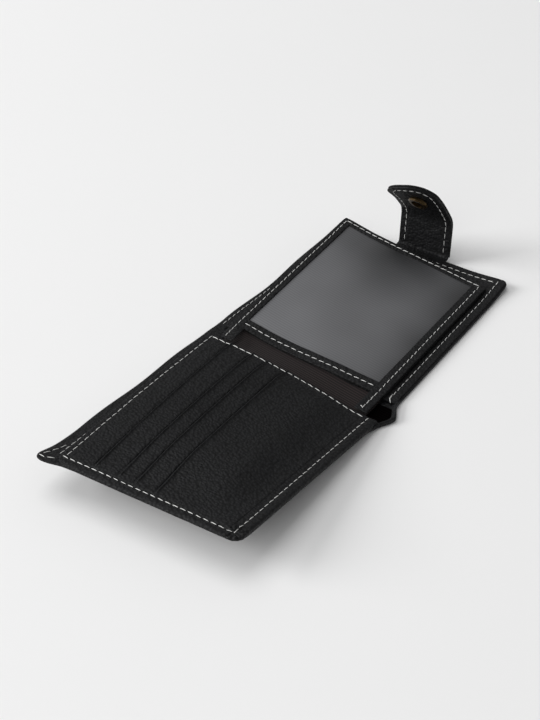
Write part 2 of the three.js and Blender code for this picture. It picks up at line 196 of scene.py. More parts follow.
class ShaderKit:
    """The node tree of one material."""

    def __init__(self, name: str) -> None:
        """Start an empty material."""
        self.material = bpy.data.materials.new(name)
        self.material.use_nodes = True
        self.tree = self.material.node_tree
        self.tree.nodes.clear()

    def node(self, kind: str, settings: dict[str, object], inputs: dict[object, object]) -> bpy.types.Node:
        """Add a node.

        Args:
            kind: The node's type.
            settings: Its own settings, set first.
            inputs: Numbers, colours or values for its sockets.

        Returns:
            The new node.
        """
        made = self.tree.nodes.new(kind)
        for key, setting in settings.items():
            setattr(made, key, setting)
        for key, value in inputs.items():
            if isinstance(value, Value):
                self.tree.links.new(value.socket, made.inputs[key])
            else:
                made.inputs[key].default_value = value
        return made

    def out(self, node: bpy.types.Node, name: object = 0) -> Value:
        """A node's output as a value."""
        return Value(self, node.outputs[name])

    def place(self, scale: Triple = UNSTRETCHED, turn: float = 0.0) -> Value:
        """Object coordinates, stretched and turned about Z.

        Args:
            scale: Stretch along each axis.
            turn: Degrees about Z.

        Returns:
            The coordinates.
        """
        coords = self.out(self.node("ShaderNodeTexCoord", {}, {}), "Object")
        inputs = {"Vector": coords, "Rotation": (0.0, 0.0, math.radians(turn)), "Scale": scale}
        return self.out(self.node("ShaderNodeMapping", {}, inputs))

    def noise(self, vector: Value, scale: float, detail: float) -> Value:
        """A noise value from 0 to 1."""
        inputs = {"Vector": vector, "Scale": scale, "Detail": detail}
        return self.out(self.node("ShaderNodeTexNoise", {}, inputs), "Fac")

    def bands(self, vector: Value, scale: float, direction: str, wobble: float, detail: float) -> Value:
        """Parallel bands, from 0 to 1."""
        settings = {"wave_type": "BANDS", "bands_direction": direction}
        inputs = {"Vector": vector, "Scale": scale, "Distortion": wobble, "Detail": detail}
        return self.out(self.node("ShaderNodeTexWave", settings, inputs), "Fac")

    def ribs(self, vector: Value) -> Value:
        """The lining's ribs, from 0 to 1."""
        return self.bands(vector, RIB_SCALE, "X", RIB_WOBBLE, 0.0)

    def mix(self, share: Value, first: Sequence[float], second: Sequence[float]) -> Value:
        """A colour between two."""
        inputs = {0: share, 6: (*first, 1.0), 7: (*second, 1.0)}
        return self.out(self.node("ShaderNodeMix", {"data_type": "RGBA"}, inputs), 2)

    def bump(self, height: Value, strength: float, depth: float) -> Value:
        """A normal from a height."""
        inputs = {"Height": height, "Strength": strength, "Distance": depth}
        return self.out(self.node("ShaderNodeBump", {}, inputs))

    def finish(self, inputs: dict[str, object]) -> bpy.types.Material:
        """Close the tree with a Principled surface."""
        surface = self.out(self.node("ShaderNodeBsdfPrincipled", {}, inputs))
        self.node("ShaderNodeOutputMaterial", {}, {"Surface": surface})
        return self.material


@dataclass(frozen=True)
class PebbledLeather:
    """Black leather with a pebbled grain, painted lighter on the grain's tops as highlight and darker in its
    hollows as shade.
    """

    name: str = "pebbled_leather"
    # The first colour is painted shade in the grain's hollows, the second a painted highlight on the grain's tops.
    hollow: Triple = (0.0038, 0.0039, 0.0042)
    crown: Triple = (0.0145, 0.0149, 0.0160)
    grain_scale: float = 900.0
    grain_blur: float = 0.35
    stretch: Triple = (1.0, 0.86, 1.0)
    wobble_scale: float = 420.0
    wobble: float = 0.0008
    pore_scale: float = 4200.0
    patch_scale: float = 55.0
    roughness: float = 0.62
    gloss: float = 0.2
    bump_strength: float = 0.85
    depth: float = 0.00045

    def make(self) -> bpy.types.Material:
        """Build the material."""
        kit = ShaderKit(self.name)
        place = kit.place(self.stretch)
        inputs = {"Vector": place, "Scale": self.wobble_scale, "Detail": 1.0}
        wobble = kit.node("ShaderNodeTexNoise", {}, inputs)
        spread = {0: kit.out(wobble, "Color"), "Scale": self.wobble}
        shift = kit.node("ShaderNodeVectorMath", {"operation": "SCALE"}, spread)
        moved = kit.node("ShaderNodeVectorMath", {"operation": "ADD"}, {0: place, 1: kit.out(shift)})
        cells = kit.node(
            "ShaderNodeTexVoronoi",
            {"feature": "SMOOTH_F1"},
            {"Vector": kit.out(moved), "Scale": self.grain_scale, "Smoothness": self.grain_blur},
        )
        fine = kit.noise(place, self.pore_scale, 3.0)
        broad = kit.noise(place, self.patch_scale, 2.0)
        grain = 1.0 - kit.out(cells, "Distance") * 1.25
        height = grain * 0.8 + fine * 0.2
        # Painted light: the grain's tops lean to the lighter colour as a painted highlight and its hollows to the
        # darker one as painted shade, with broad patches of random tone.
        share = grain * 0.75 + broad * 0.5 - 0.25
        return kit.finish(
            {
                "Base Color": kit.mix(share, self.hollow, self.crown),
                "Roughness": self.roughness - 0.16 * grain + 0.06 * broad,
                "Normal": kit.bump(height, self.bump_strength, self.depth),
                "Specular IOR Level": self.gloss,
            }
        )


@dataclass(frozen=True)
class RibbedLining:
    """Dark brown lining cloth with fine ribs."""

    name: str = "ribbed_lining"
    furrow: Triple = (0.0008, 0.0004, 0.0004)
    rib: Triple = (0.0190, 0.0100, 0.0095)
    gloss: float = 0.28
    sheen: float = 0.07
    fuzz_scale: float = 2600.0
    roughness: float = 0.92
    bump_strength: float = 0.5
    depth: float = 0.0003

    def make(self) -> bpy.types.Material:
        """Build the material."""
        kit = ShaderKit(self.name)
        place = kit.place(turn=RIB_TURN)
        rib = kit.ribs(place)
        fuzz = kit.noise(place, self.fuzz_scale, 2.0)
        return kit.finish(
            {
                "Base Color": kit.mix(rib * 0.9 + fuzz * 0.12 - 0.05, self.furrow, self.rib),
                "Roughness": self.roughness - 0.15 * rib,
                "Normal": kit.bump(rib, self.bump_strength, self.depth),
                "Specular IOR Level": self.gloss,
                "Sheen Weight": self.sheen,
            }
        )


@dataclass(frozen=True)
class WaxedThread:
    """White sewing thread of twisted plies."""

    name: str = "waxed_thread"
    shade: Triple = (0.66, 0.66, 0.645)
    crown: Triple = (0.92, 0.92, 0.90)
    ply_scale: float = 420.0
    ply_wobble: float = 1.2
    turn: float = 33.0
    fuzz_scale: float = 3200.0
    roughness: float = 0.75
    bump_strength: float = 0.5
    depth: float = 0.0002

    def make(self) -> bpy.types.Material:
        """Build the material."""
        kit = ShaderKit(self.name)
        place = kit.place(turn=self.turn)
        ply = kit.bands(place, self.ply_scale, "DIAGONAL", self.ply_wobble, 1.0)
        fuzz = kit.noise(place, self.fuzz_scale, 2.0)
        return kit.finish(
            {
                "Base Color": kit.mix(ply * 0.6 + fuzz * 0.5, self.shade, self.crown),
                "Roughness": self.roughness - 0.15 * ply,
                "Normal": kit.bump(ply * 0.7 + fuzz * 0.3, self.bump_strength, self.depth),
            }
        )


@dataclass(frozen=True)
class WindowFilm:
    """Glossy clear film, a little hazy, whose grey also carries a painted reflection of the soft light."""

    name: str = "window_film"
    clear: Triple = (0.002, 0.002, 0.002)
    # Painted reflection: the grey below is partly the film's own haziness and partly a painted reflection of the
    # soft light, and the point after it centres a painted dark patch in that reflection.
    haze_and_reflection_grey: Triple = (0.204, 0.206, 0.216)
    reflection_dark_spot: Triple = (0.040, 0.0044, 0.009)
    reflection_spot_squash: Triple = (1.0, 0.8, 1.0)
    reflection_spot_reach: float = 0.05
    reflection_spot_share: float = 0.44
    edge_slope: float = 50.0
    edge_start: float = 0.725
    edge_share: float = 0.25
    haze_and_reflection: float = 0.6
    reflection_up: float = 2.8
    reflection_out: float = 2.5
    cloud_scale: float = 30.0
    cloud_share: float = 0.4
    roughness: float = 0.36
    cover: float = 0.82
    gloss: float = 0.6

    def make(self) -> bpy.types.Material:
        """Build the material."""
        kit = ShaderKit(self.name)
        place = kit.place(turn=RIB_TURN)
        axes = kit.node("ShaderNodeSeparateXYZ", {}, {"Vector": kit.place()})
        cloud = (kit.noise(place, self.cloud_scale, 1.0) - 0.5) * self.cloud_share
        ends = {0: kit.place(self.reflection_spot_squash), 1: self.reflection_dark_spot}
        reflection_dark_spot = kit.node("ShaderNodeVectorMath", {"operation": "DISTANCE"}, ends)
        gap = 1 - kit.out(reflection_dark_spot, "Value") * (1 / self.reflection_spot_reach)
        clear = gap.at_least(0.0)
        out, up = kit.out(axes, "X"), kit.out(axes, "Y")
        edge = (up * -self.edge_slope - self.edge_start).at_least(0.0)
        dark = clear * clear * self.reflection_spot_share + edge * edge * self.edge_share
        # Painted reflection: over the film's own haziness, the grey grows towards the film's top and towards the
        # spine, with a painted dark patch in that reflection and painted dimming towards its low edge; the cloud
        # is random tone.
        haze_and_reflection = self.haze_and_reflection + up * self.reflection_up - out * self.reflection_out + cloud - dark
        rib = kit.ribs(place)
        return kit.finish(
            {
                "Base Color": kit.mix(haze_and_reflection * (0.86 + rib * 0.28), self.clear, self.haze_and_reflection_grey),
                "Roughness": self.roughness + 0.1 * haze_and_reflection,
                "Alpha": self.cover + 0.1 * haze_and_reflection,
                "Specular IOR Level": self.gloss,
            }
        )


@dataclass(frozen=True)
class GoldPlate:
    """Polished golden plating with fine rubbing marks, its colour darkened as painted shade."""

    name: str = "gold_plate"
    # Painted shade: both colours are far darker than polished gold, for a snap that sits in the strap's shade.
    dark_in_shade: Triple = (0.030, 0.022, 0.012)
    bright_in_shade: Triple = (0.17, 0.115, 0.055)
    rub_scale: float = 900.0
    tone_scale: float = 180.0
    roughness: float = 0.2
    bump_strength: float = 0.1
    depth: float = 0.0001

    def make(self) -> bpy.types.Material:
        """Build the material."""
        kit = ShaderKit(self.name)
        place = kit.place()
        rub = kit.noise(place, self.rub_scale, 3.0)
        tone = kit.noise(place, self.tone_scale, 1.0)
        return kit.finish(
            {
                "Base Color": kit.mix(tone * 0.8 + rub * 0.3, self.dark_in_shade, self.bright_in_shade),
                "Metallic": 1.0,
                "Roughness": self.roughness + 0.2 * rub,
                "Normal": kit.bump(rub, self.bump_strength, self.depth),
            }
        )


@dataclass(frozen=True)
class StiffBoard:
    """Grey-brown stiffening board with short fibres."""

    name: str = "stiff_board"
    dark: Triple = (0.20, 0.17, 0.13)
    light: Triple = (0.36, 0.32, 0.26)
    stretch: Triple = (1.0, 6.0, 1.0)
    fibre_scale: float = 500.0
    roughness: float = 0.85
    bump_strength: float = 0.4
    depth: float = 0.0002

    def make(self) -> bpy.types.Material:
        """Build the material."""
        kit = ShaderKit(self.name)
        fibre = kit.noise(kit.place(self.stretch), self.fibre_scale, 4.0)
        return kit.finish(
            {
                "Base Color": kit.mix(fibre, self.dark, self.light),
                "Roughness": self.roughness + 0.1 * fibre,
                "Normal": kit.bump(fibre, self.bump_strength, self.depth),
            }
        )


@dataclass(frozen=True)
class PaleFloor:
    """The plain pale table."""

    name: str = "pale_floor"
    low: Triple = (0.85, 0.85, 0.85)
    high: Triple = (0.86, 0.86, 0.86)
    mottle_scale: float = 8.0
    roughness: float = 0.8

    def make(self) -> bpy.types.Material:
        """Build the material."""
        kit = ShaderKit(self.name)
        mottle = kit.noise(kit.place(), self.mottle_scale, 2.0)
        return kit.finish(
            {
                "Base Color": kit.mix(mottle, self.low, self.high),
                "Roughness": self.roughness + 0.1 * mottle,
            }
        )


class Wardrobe:
    """The finishes, each made once."""

    def __init__(self) -> None:
        """Make every finish that the part uses."""
        self.by_slot = {
            Slot.LEATHER: PebbledLeather().make(),
            Slot.LINING: RibbedLining().make(),
            Slot.BOARD: StiffBoard().make(),
            Slot.FILM: WindowFilm().make(),
            Slot.BRASS: GoldPlate().make(),
            Slot.THREAD: WaxedThread().make(),
        }
        # Painted shade: a nearly black, matt lining for the spine's deep hollow, standing in for the shade there.
        shade_lining_finish = RibbedLining(
            "painted_shade_lining", furrow=(0.0008, 0.0006, 0.0006), rib=(0.0024, 0.0018, 0.0017),
            gloss=0.0, sheen=0.0,
        )
        self.painted_shade_lining = shade_lining_finish.make()

    def dress(self, piece: bpy.types.Object, slot: Slot) -> None:
        """Give a piece the finish of the record's slot."""
        piece.data.materials.clear()
        piece.data.materials.append(self.by_slot[slot])

    def dress_nodes(self) -> None:
        """Give every CAD node a finish, since a few stay in view."""
        for row in frame["record"]["subparts"]:
            node = frame["nodes"][row["node"]]
            material = self.by_slot[Slot(row["material_slot"])]
            for place in node.material_slots:
                place.material = material


# Modelling


class Bench:
    """Modelling moves that the pieces share."""

    @staticmethod
    def clear() -> None:
        """Leave edit mode and deselect everything."""
        if bpy.context.object and bpy.context.object.mode != "OBJECT":
            bpy.ops.object.mode_set(mode="OBJECT")
        bpy.ops.object.select_all(action="DESELECT")

    @staticmethod
    def coordinates(piece: bpy.types.Object) -> Array:
        """A mesh's vertices, one row each."""
        flat = np.zeros(len(piece.data.vertices) * 3)
        piece.data.vertices.foreach_get("co", flat)
        return flat.reshape(-1, 3)

    @staticmethod
    def shape(piece: bpy.types.Object, places: Array) -> None:
        """Move a mesh's vertices to the given places."""
        piece.data.vertices.foreach_set("co", np.ascontiguousarray(places, dtype=np.float64).ravel())
        piece.data.update()

    @staticmethod
    def close(piece: bpy.types.Object, angle: float) -> None:
        """Turn the faces outwards and shade them smooth up to an angle."""
        Bench.clear()
        piece.select_set(True)
        bpy.context.view_layer.objects.active = piece
        bpy.ops.object.mode_set(mode="EDIT")
        bpy.ops.mesh.select_all(action="SELECT")
        bpy.ops.mesh.normals_make_consistent(inside=False)
        bpy.ops.object.mode_set(mode="OBJECT")
        bpy.ops.object.shade_smooth_by_angle(angle=math.radians(angle))


RIM_STEPS = (0.12, 0.4, 1.0)
RIM_BLUNT = 0.3
LAYER_SMOOTH = 50.0
TINY = 1e-9


def grid_lines(start: float, end: float, step: float, rim: float, cuts: Sequence[float] = ()) -> Array:
    """Grid lines from start to end, closer together at the ends and at the cuts.

    Args:
        start: First line.
        end: Last line.
        step: Spacing between the rims.
        rim: Width of a rounded rim.
        cuts: Further lines that rims lie on both sides of.

    Returns:
        The lines in order.
    """
    marks = [start, *cuts, end]
    lines: list[float] = []
    for first, last in zip(marks, marks[1:]):
        inner = last - first - 2 * rim
        count = max(1, round(inner / step))
        lines.append(first)
        lines += [first + rim * share for share in RIM_STEPS]
        lines += [first + rim + inner * index / count for index in range(1, count)]
        lines += [last - rim * share for share in reversed(RIM_STEPS)]
    return np.array([*lines, end])


@dataclass
class Layer:
    """A thin layer of leather, cloth, board or film, drawn flat and then laid in place.

    u runs along the layer and y across it. The rim is round on every edge but those left square.
    """

    name: str
    u: tuple[float, float]
    y: tuple[float, float]
    top: Surface
    bottom: Surface
    lay: Lay
    step: float = 1.6
    rim: float = 0.5
    corner: float = 0.0
    square: tuple[str, ...] = ()
    window: tuple[float, float, float, float] | None = None
    drift: Drift | None = None
    along: tuple[float, ...] = ()
    across: tuple[float, ...] = ()

    def lines(self) -> tuple[Array, Array]:
        """The grid's lines along u and y, with cuts at the window's edges."""
        u_cuts, y_cuts = [], []
        if self.window:
            u_cuts = [value for value in self.window[:2] if self.u[0] < value < self.u[1]]
            y_cuts = list(self.window[2:])
        along = np.union1d(grid_lines(*self.u, self.step, self.rim, u_cuts), self.along)
        return along, np.union1d(grid_lines(*self.y, self.step, self.rim, y_cuts), self.across)

    def rim_distance(self, u: Array, y: Array) -> Array:
        """How far each place is from the nearest round edge."""
        edges = {"near": u - self.u[0], "far": self.u[1] - u, "low": y - self.y[0], "high": self.y[1] - y}
        found = [gap for edge, gap in edges.items() if edge not in self.square]
        if self.window:
            left, right, low, high = self.window
            across = np.maximum(np.maximum(left - u, u - right), 0)
            along = np.maximum(np.maximum(low - y, y - high), 0)
            found.append(np.maximum(across, along))
        return np.min(found, axis=0) if found else np.full_like(u, self.rim)

    def rounded(self, u: Array, y: Array) -> tuple[Array, Array]:
        """Draw the corners in to a round outline."""
        new_u, new_y = u.copy(), y.copy()
        radius = self.corner
        for u_edge, u_sign, u_name in ((self.u[0], -1, "near"), (self.u[1], 1, "far")):
            for y_edge, y_sign in ((self.y[0], -1), (self.y[1], 1)):
                if u_name in self.square:
                    continue
                out_u = (u - (u_edge - u_sign * radius)) * u_sign
                out_y = (y - (y_edge - y_sign * radius)) * y_sign
                here = (out_u > 0) & (out_y > 0)
                pull = np.maximum(out_u, out_y) / np.maximum(np.hypot(out_u, out_y), TINY)
                new_u = np.where(here, u_edge - u_sign * radius + u_sign * out_u * pull, new_u)
                new_y = np.where(here, y_edge - y_sign * radius + y_sign * out_y * pull, new_y)
        return new_u, new_y

    def make(self) -> bpy.types.Object:
        """Model the layer.

        Returns:
            The finished object, at the origin, with its place in its mesh.
        """
        us, ys = self.lines()
        columns, rows = len(us) - 1, len(ys) - 1
        Bench.clear()
        bpy.ops.mesh.primitive_grid_add(x_subdivisions=columns, y_subdivisions=rows, size=2)
        piece = bpy.context.object
        piece.name = piece.data.name = self.name
        bpy.ops.object.mode_set(mode="EDIT")
        if self.window:
            self.open_window(piece, us, ys)
        bpy.ops.mesh.select_all(action="SELECT")
        bpy.ops.mesh.extrude_region_move(TRANSFORM_OT_translate={"value": (0, 0, 1)})
        bpy.ops.object.mode_set(mode="OBJECT")

        raw = Bench.coordinates(piece)
        u = us[np.rint((raw[:, 0] + 1) / 2 * columns).astype(int)]
        y = ys[np.rint((raw[:, 1] + 1) / 2 * rows).astype(int)]
        gap = np.clip(self.rim_distance(u, y) / self.rim, 0, 1)
        full = RIM_BLUNT + (1 - RIM_BLUNT) * np.sqrt(1 - (1 - gap) ** 2)
        if self.corner:
            u, y = self.rounded(u, y)
        top, bottom = self.top(u, y), self.bottom(u, y)
        middle = (top + bottom) / 2
        level = middle + (np.where(raw[:, 2] > 0.5, top, bottom) - middle) * full
        if self.drift:
            u, y = self.drift(u, y)
        Bench.shape(piece, self.lay(u, y, level) * MM)
        Bench.close(piece, LAYER_SMOOTH)
        return piece

    def open_window(self, piece: bpy.types.Object, us: Array, ys: Array) -> None:
        """Delete the faces inside the window, in edit mode."""
        left, right, low, high = self.window
        bpy.ops.mesh.select_all(action="DESELECT")
        bpy.ops.object.mode_set(mode="OBJECT")
        for face in piece.data.polygons:
            u = np.interp((face.center[0] + 1) / 2 * (len(us) - 1), np.arange(len(us)), us)
            y = np.interp((face.center[1] + 1) / 2 * (len(ys) - 1), np.arange(len(ys)), ys)
            face.select = bool(left < u < right and low < y < high)
        bpy.ops.object.mode_set(mode="EDIT")
        bpy.ops.mesh.delete(type="FACE")


@dataclass
class StitchRow:
    """One row of stitches along a path on a surface."""

    path: Sequence[tuple[float, float]]
    surface: Surface
    lay: Lay
    face: Face = Face.INSIDE
    pitch: float = 3.5
    dash: float = 3.05
    proud: float = 0.08
    slant: float = 3.5


class Needle:
    """Models one stitch and sews rows of its copies."""

    width = 0.27
    height = 0.36
    dip = 0.2
    blunt = 0.72
    segments = 8
    rings = 6
    jitter = 3.0
    jitter_step = 7.3
    smooth = 60.0

    def __init__(self) -> None:
        """Model the stitch: a plump capsule."""
        Bench.clear()
        bpy.ops.mesh.primitive_uv_sphere_add(
            segments=self.segments, ring_count=self.rings, radius=1, rotation=(0, math.pi / 2, 0)
        )
        self.stitch = bpy.context.object
        bpy.ops.object.transform_apply(location=False, rotation=True, scale=False)
        bpy.ops.object.mode_set(mode="EDIT")
        bpy.ops.mesh.select_all(action="SELECT")
        bpy.ops.transform.resize(value=(1, self.width / 2, self.height / 2))
        bpy.ops.object.mode_set(mode="OBJECT")
        self.form = Bench.coordinates(self.stitch)
        self.form[:, 0] = np.sign(self.form[:, 0]) * np.abs(self.form[:, 0]) ** self.blunt

    def put_away(self) -> None:
        """Delete the model stitch."""
        bpy.data.objects.remove(self.stitch, do_unlink=True)

    def places(self, row: StitchRow) -> list[Triple]:
        """Where a row's stitches lie.

        Args:
            row: The row.

        Returns:
            The middle of each stitch and its direction, as u, y and an angle.
        """
        points = np.array(row.path, float)
        spans = np.diff(points, axis=0)
        lengths = np.hypot(spans[:, 0], spans[:, 1])
        ends = np.concatenate([[0], np.cumsum(lengths)])
        count = max(1, round(ends[-1] / row.pitch))
        found = []
        for index in range(count):
            reach = (index + 0.5) * ends[-1] / count
            leg = min(int(np.searchsorted(ends, reach, side="right")) - 1, len(spans) - 1)
            share = (reach - ends[leg]) / lengths[leg]
            place = points[leg] + spans[leg] * share
            found.append((place[0], place[1], math.atan2(spans[leg][1], spans[leg][0])))
        return found

    def sew(self, name: str, rows: Sequence[StitchRow]) -> bpy.types.Object:
        """Sew rows of stitches as one piece.

        Args:
            name: The piece's name.
            rows: Its rows.

        Returns:
            The joined stitches.
        """
        made = []
        for row in rows:
            for number, (u, y, angle) in enumerate(self.places(row)):
                mesh = self.stitch.data.copy()
                copy = bpy.data.objects.new(f"{name}_{number}", mesh)
                bpy.context.scene.collection.objects.link(copy)
                turn = angle + math.radians(row.slant + self.jitter * math.sin(self.jitter_step * number))
                along = self.form[:, 0] * row.dash / 2
                across = self.form[:, 1]
                at_u = u + along * math.cos(turn) - across * math.sin(turn)
                at_y = y + along * math.sin(turn) + across * math.cos(turn)
                lift = self.form[:, 2] - self.dip * self.form[:, 0] ** 2 + row.proud
                level = row.surface(at_u, at_y) + lift * row.face.value
                Bench.shape(copy, row.lay(at_u, at_y, level) * MM)
                made.append(copy)
        Bench.clear()
        for copy in made:
            copy.select_set(True)
        bpy.context.view_layer.objects.active = made[0]
        bpy.ops.object.join()
        piece = bpy.context.object
        piece.name = piece.data.name = name
        Bench.close(piece, self.smooth)
        return piece


@dataclass
class Fitter:
    """Dresses finished pieces, sets them on their bodies and logs them."""

    wardrobe: Wardrobe
    needle: Needle

    def record(self, piece: bpy.types.Object, nodes: Sequence[str]) -> bpy.types.Object:
        """Hide the CAD nodes that a piece stands for, log the piece and return it."""
        if nodes:
            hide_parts(*nodes)
        LOG.info("%s: %d faces", piece.name, len(piece.data.polygons))
        return piece

    def flatten(self, piece: bpy.types.Object, axis: Sequence[float], anchor: Sequence[float]) -> None:
        """Give a gaping piece its own copy of its mesh."""
        [value * MM for value in anchor]
        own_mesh(piece)

    def ride(self, piece: bpy.types.Object, slot: Slot, body: str, *nodes: str) -> bpy.types.Object:
        """Set a piece on a body.

        Args:
            piece: The piece.
            slot: Its material slot.
            body: The CAD body that it rides on.
            nodes: The CAD nodes that it stands for.

        Returns:
            The piece.
        """
        self.wardrobe.dress(piece, slot)
        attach(piece, body)
        return self.record(piece, nodes)

    def sew(self, name: str, rows: Sequence[StitchRow], body: str, node: str) -> bpy.types.Object:
        """Sew rows of stitches as one piece that rides on a body.

        Args:
            name: The piece's name.
            rows: Its rows.
            body: The CAD body that it rides on.
            node: The CAD node that it stands for.

        Returns:
            The piece.
        """
        return self.ride(self.needle.sew(name, rows), Slot.THREAD, body, node)

    def bend(
        self,
        piece: bpy.types.Object,
        slot: Slot,
        bodies: tuple[str, str],
        reach: Reach,
        *nodes: str,
    ) -> bpy.types.Object:
        """Dress a piece, bake its place into its mesh and log it.

        Args:
            piece: The piece.
            slot: Its material slot.
            bodies: The two bodies; not used.
            reach: Where the bend starts and ends, in millimetres.
            nodes: The CAD nodes that it stands for.

        Returns:
            The piece.
        """
        self.wardrobe.dress(piece, slot)
        start, end = (tuple(value * MM for value in point) for point in reach)
        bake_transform(piece)
        return self.record(piece, nodes)


# The wallet's own pieces


@dataclass
class OpenLie:
    """How the open wallet lies: flat at the rear, raised at the front's free end, twisted up at its top."""

    front_top_lift: float = 4.5
    front_far_low: float = 0.46
    front_far_top: float = -0.74
    front_gape: float = 5.5
    gape_from: float = -42.0
    gape_over: float = 70.0
    front_skew: float = 1.1
    flare: float = 0.4
    flare_reach: float = 26.0
    flare_power: float = 1.6
    twist_from: float = 5.0
    rear_top_lift: float = 3.5
    rear_lift_reach: float = 55.0
    corner_curl: float = 2.0
    curl_reach: float = 24.0
    crease_half: float = 2.0

    def lift(self, x: Array, y: Array) -> Array:
        """How far the twist raises each place of the unrolled wallet."""
        up = (y + HALF_HEIGHT) / (2 * HALF_HEIGHT)
        steep = ease((y - self.twist_from) / (HALF_HEIGHT - self.twist_from))
        out = (FRONT_CREASE - x) / FRONT_LENGTH
        top = self.front_top_lift + (self.front_far_top - self.front_top_lift) * out
        flare = self.flare * self.corner_share(out * FRONT_LENGTH, y)
        front = (1 - up) * self.front_far_low * out + up * top + flare
        over = (x - FRONT_CREASE) / (REAR_CREASE - FRONT_CREASE)
        crest = self.front_top_lift + (self.rear_top_lift - self.front_top_lift) * over
        spine = crest * ((1 - over) * up + over * steep)
        rear = self.rear_top_lift * steep * (1 - ease((x - REAR_CREASE) / self.rear_lift_reach))
        corner = np.hypot(x - REAR_CREASE - REAR_LENGTH, y + HALF_HEIGHT)
        rear = rear + self.corner_curl * np.clip(1 - corner / self.curl_reach, 0, 1) ** 2
        return np.where(x < FRONT_CREASE, front, np.where(x < REAR_CREASE, spine, rear))

    def corner_share(self, u: Array, y: Array) -> Array:
        """1 at the front half's top free corner, falling to 0 round it."""
        gap = np.hypot(u - FRONT_LENGTH, y - HALF_HEIGHT)
        return np.clip(1 - gap / self.flare_reach, 0, 1) ** self.flare_power

    def gape(self, u: Array, y: Array) -> Array:
        """How far the front half's card panel stands off its cover, u from the front crease."""
        along = 1 - np.clip(u / FRONT_LENGTH, 0, 1) ** 2
        return self.front_gape * ease((y - self.gape_from) / self.gape_over) * along

    def unrolled(self, x: Array, y: Array, level: Array) -> Array:
        """Lay places of the unrolled wallet.

        Args:
            x: Along the unrolled cover, in the row frame where it lies flat.
            y: Across it.
            level: Above the cover's outer face.

        Returns:
            The places in the row frame, one row each.
        """
        share = ease((FRONT_CREASE + self.crease_half - x) / (2 * self.crease_half))
        turn = np.radians(FRONT_TILT) * share
        skew = self.front_skew * np.clip((FRONT_CREASE - x) / FRONT_LENGTH, 0, 2) * y / HALF_HEIGHT
        along, above = x - skew - FRONT_CREASE, level - CREASE_LEVEL
        place_x = FRONT_CREASE + along * np.cos(turn) + above * np.sin(turn)
        place_z = CREASE_LEVEL - along * np.sin(turn) + above * np.cos(turn) + self.lift(x, y)
        return np.stack([place_x, np.broadcast_to(y, place_x.shape), place_z], axis=-1)

    def front(self, u: Array, y: Array, level: Array) -> Array:
        """Lay places of the front half, u from the front crease."""
        return self.unrolled(FRONT_CREASE - u, y, level)

    def rear(self, u: Array, y: Array, level: Array) -> Array:
        """Lay places of the rear half, u from the rear crease."""
        return self.unrolled(REAR_CREASE + u, y, level)


# The spine's two creases
SPINE_HALF = (REAR_CREASE - FRONT_CREASE) / 2
SPINE_FADE = 8.0
CREASE_REACH = 2.0

# The hem along the bill opening and the lip along the bottom of the spine
HEM_WIDTH = 8.5
HEM_FOLD = 0.8
HEM_EASE = 1.5
SPINE_LIP = 1.7
LIP_EDGE = 0.7
LIP_FROM = 1.0
LIP_OVER = 7.0

# The spine's bulge at the bottom, and the cover's wavy top edge
BULGE = 4.0
BULGE_HALF = 5.5
BULGE_FROM = -30.0
BULGE_OVER = 17.0
WAVE_LENGTH = 8.5
WAVE_FROM = 36.0
WAVE_OVER = 11.0

# Layers: a top and a bottom face each, or a thickness
COVER_LEATHER = 1.0
BOARD_FACES = (1.4, 1.08)
BILL_FACES = (1.8, 1.55)
DIVIDER_LEATHER = 0.28

# Edges of the layers, along a half or across it
BILL_NEAR = 3.4
BILL_FAR = 9.4
BILL_HALF = 37.6
PANEL_NEAR = 0.6
PANEL_LOW = -46.2
PANEL_HIGH = 41.0
DIVIDER_HIGH = 44.0
CARD_HIGH = 39.0

# Rows of stitches across a half, the groove that they draw and their own form
SEAM_LOW = -42.7
HEM_ROW = 45.4
PANEL_ROW = 39.0
CARD_ROW = 36.8
DIVIDER_ROW = 40.4
SEWN_WIDTH = 9.0
ROW_HALF = 1.0
SUNK = -0.1
FLAP_DASH = 3.4

# Grid lines beside a card pocket's mouth, below it and above it
SLOT_LINES = (0.5, 0.65, 0.8, 1.0, 1.25)
GROOVE_LINES = (0.0, 0.15, 0.3, 0.45, 0.6, 0.75, 0.9)


def crease_reach(x: float) -> Reach:
    """Where a piece bends at a crease of the spine, from its rear side to its front side."""
    return (x + CREASE_REACH, 0, 0), (x - CREASE_REACH, 0, 0)


def spine_bulge(out: Array, y: Array) -> Array:
    """How far the spine's loop of leather stands out at the bottom edge, out from mid spine."""
    return -BULGE * ridge(out, BULGE_HALF) * ease((BULGE_FROM - y) / BULGE_OVER)


def hem_step(u: Array, y: Array) -> Array:
    """The turned-in hem along the bill opening, and the lip along the bottom of the spine."""
    high = HEM_FOLD * (1 - ease((HALF_HEIGHT - HEM_WIDTH - y) / HEM_EASE))
    lip = SPINE_LIP * (1 - ease(y + HALF_HEIGHT - LIP_EDGE)) * (1 - ease((u - LIP_FROM) / LIP_OVER))
    return np.maximum(high, lip)


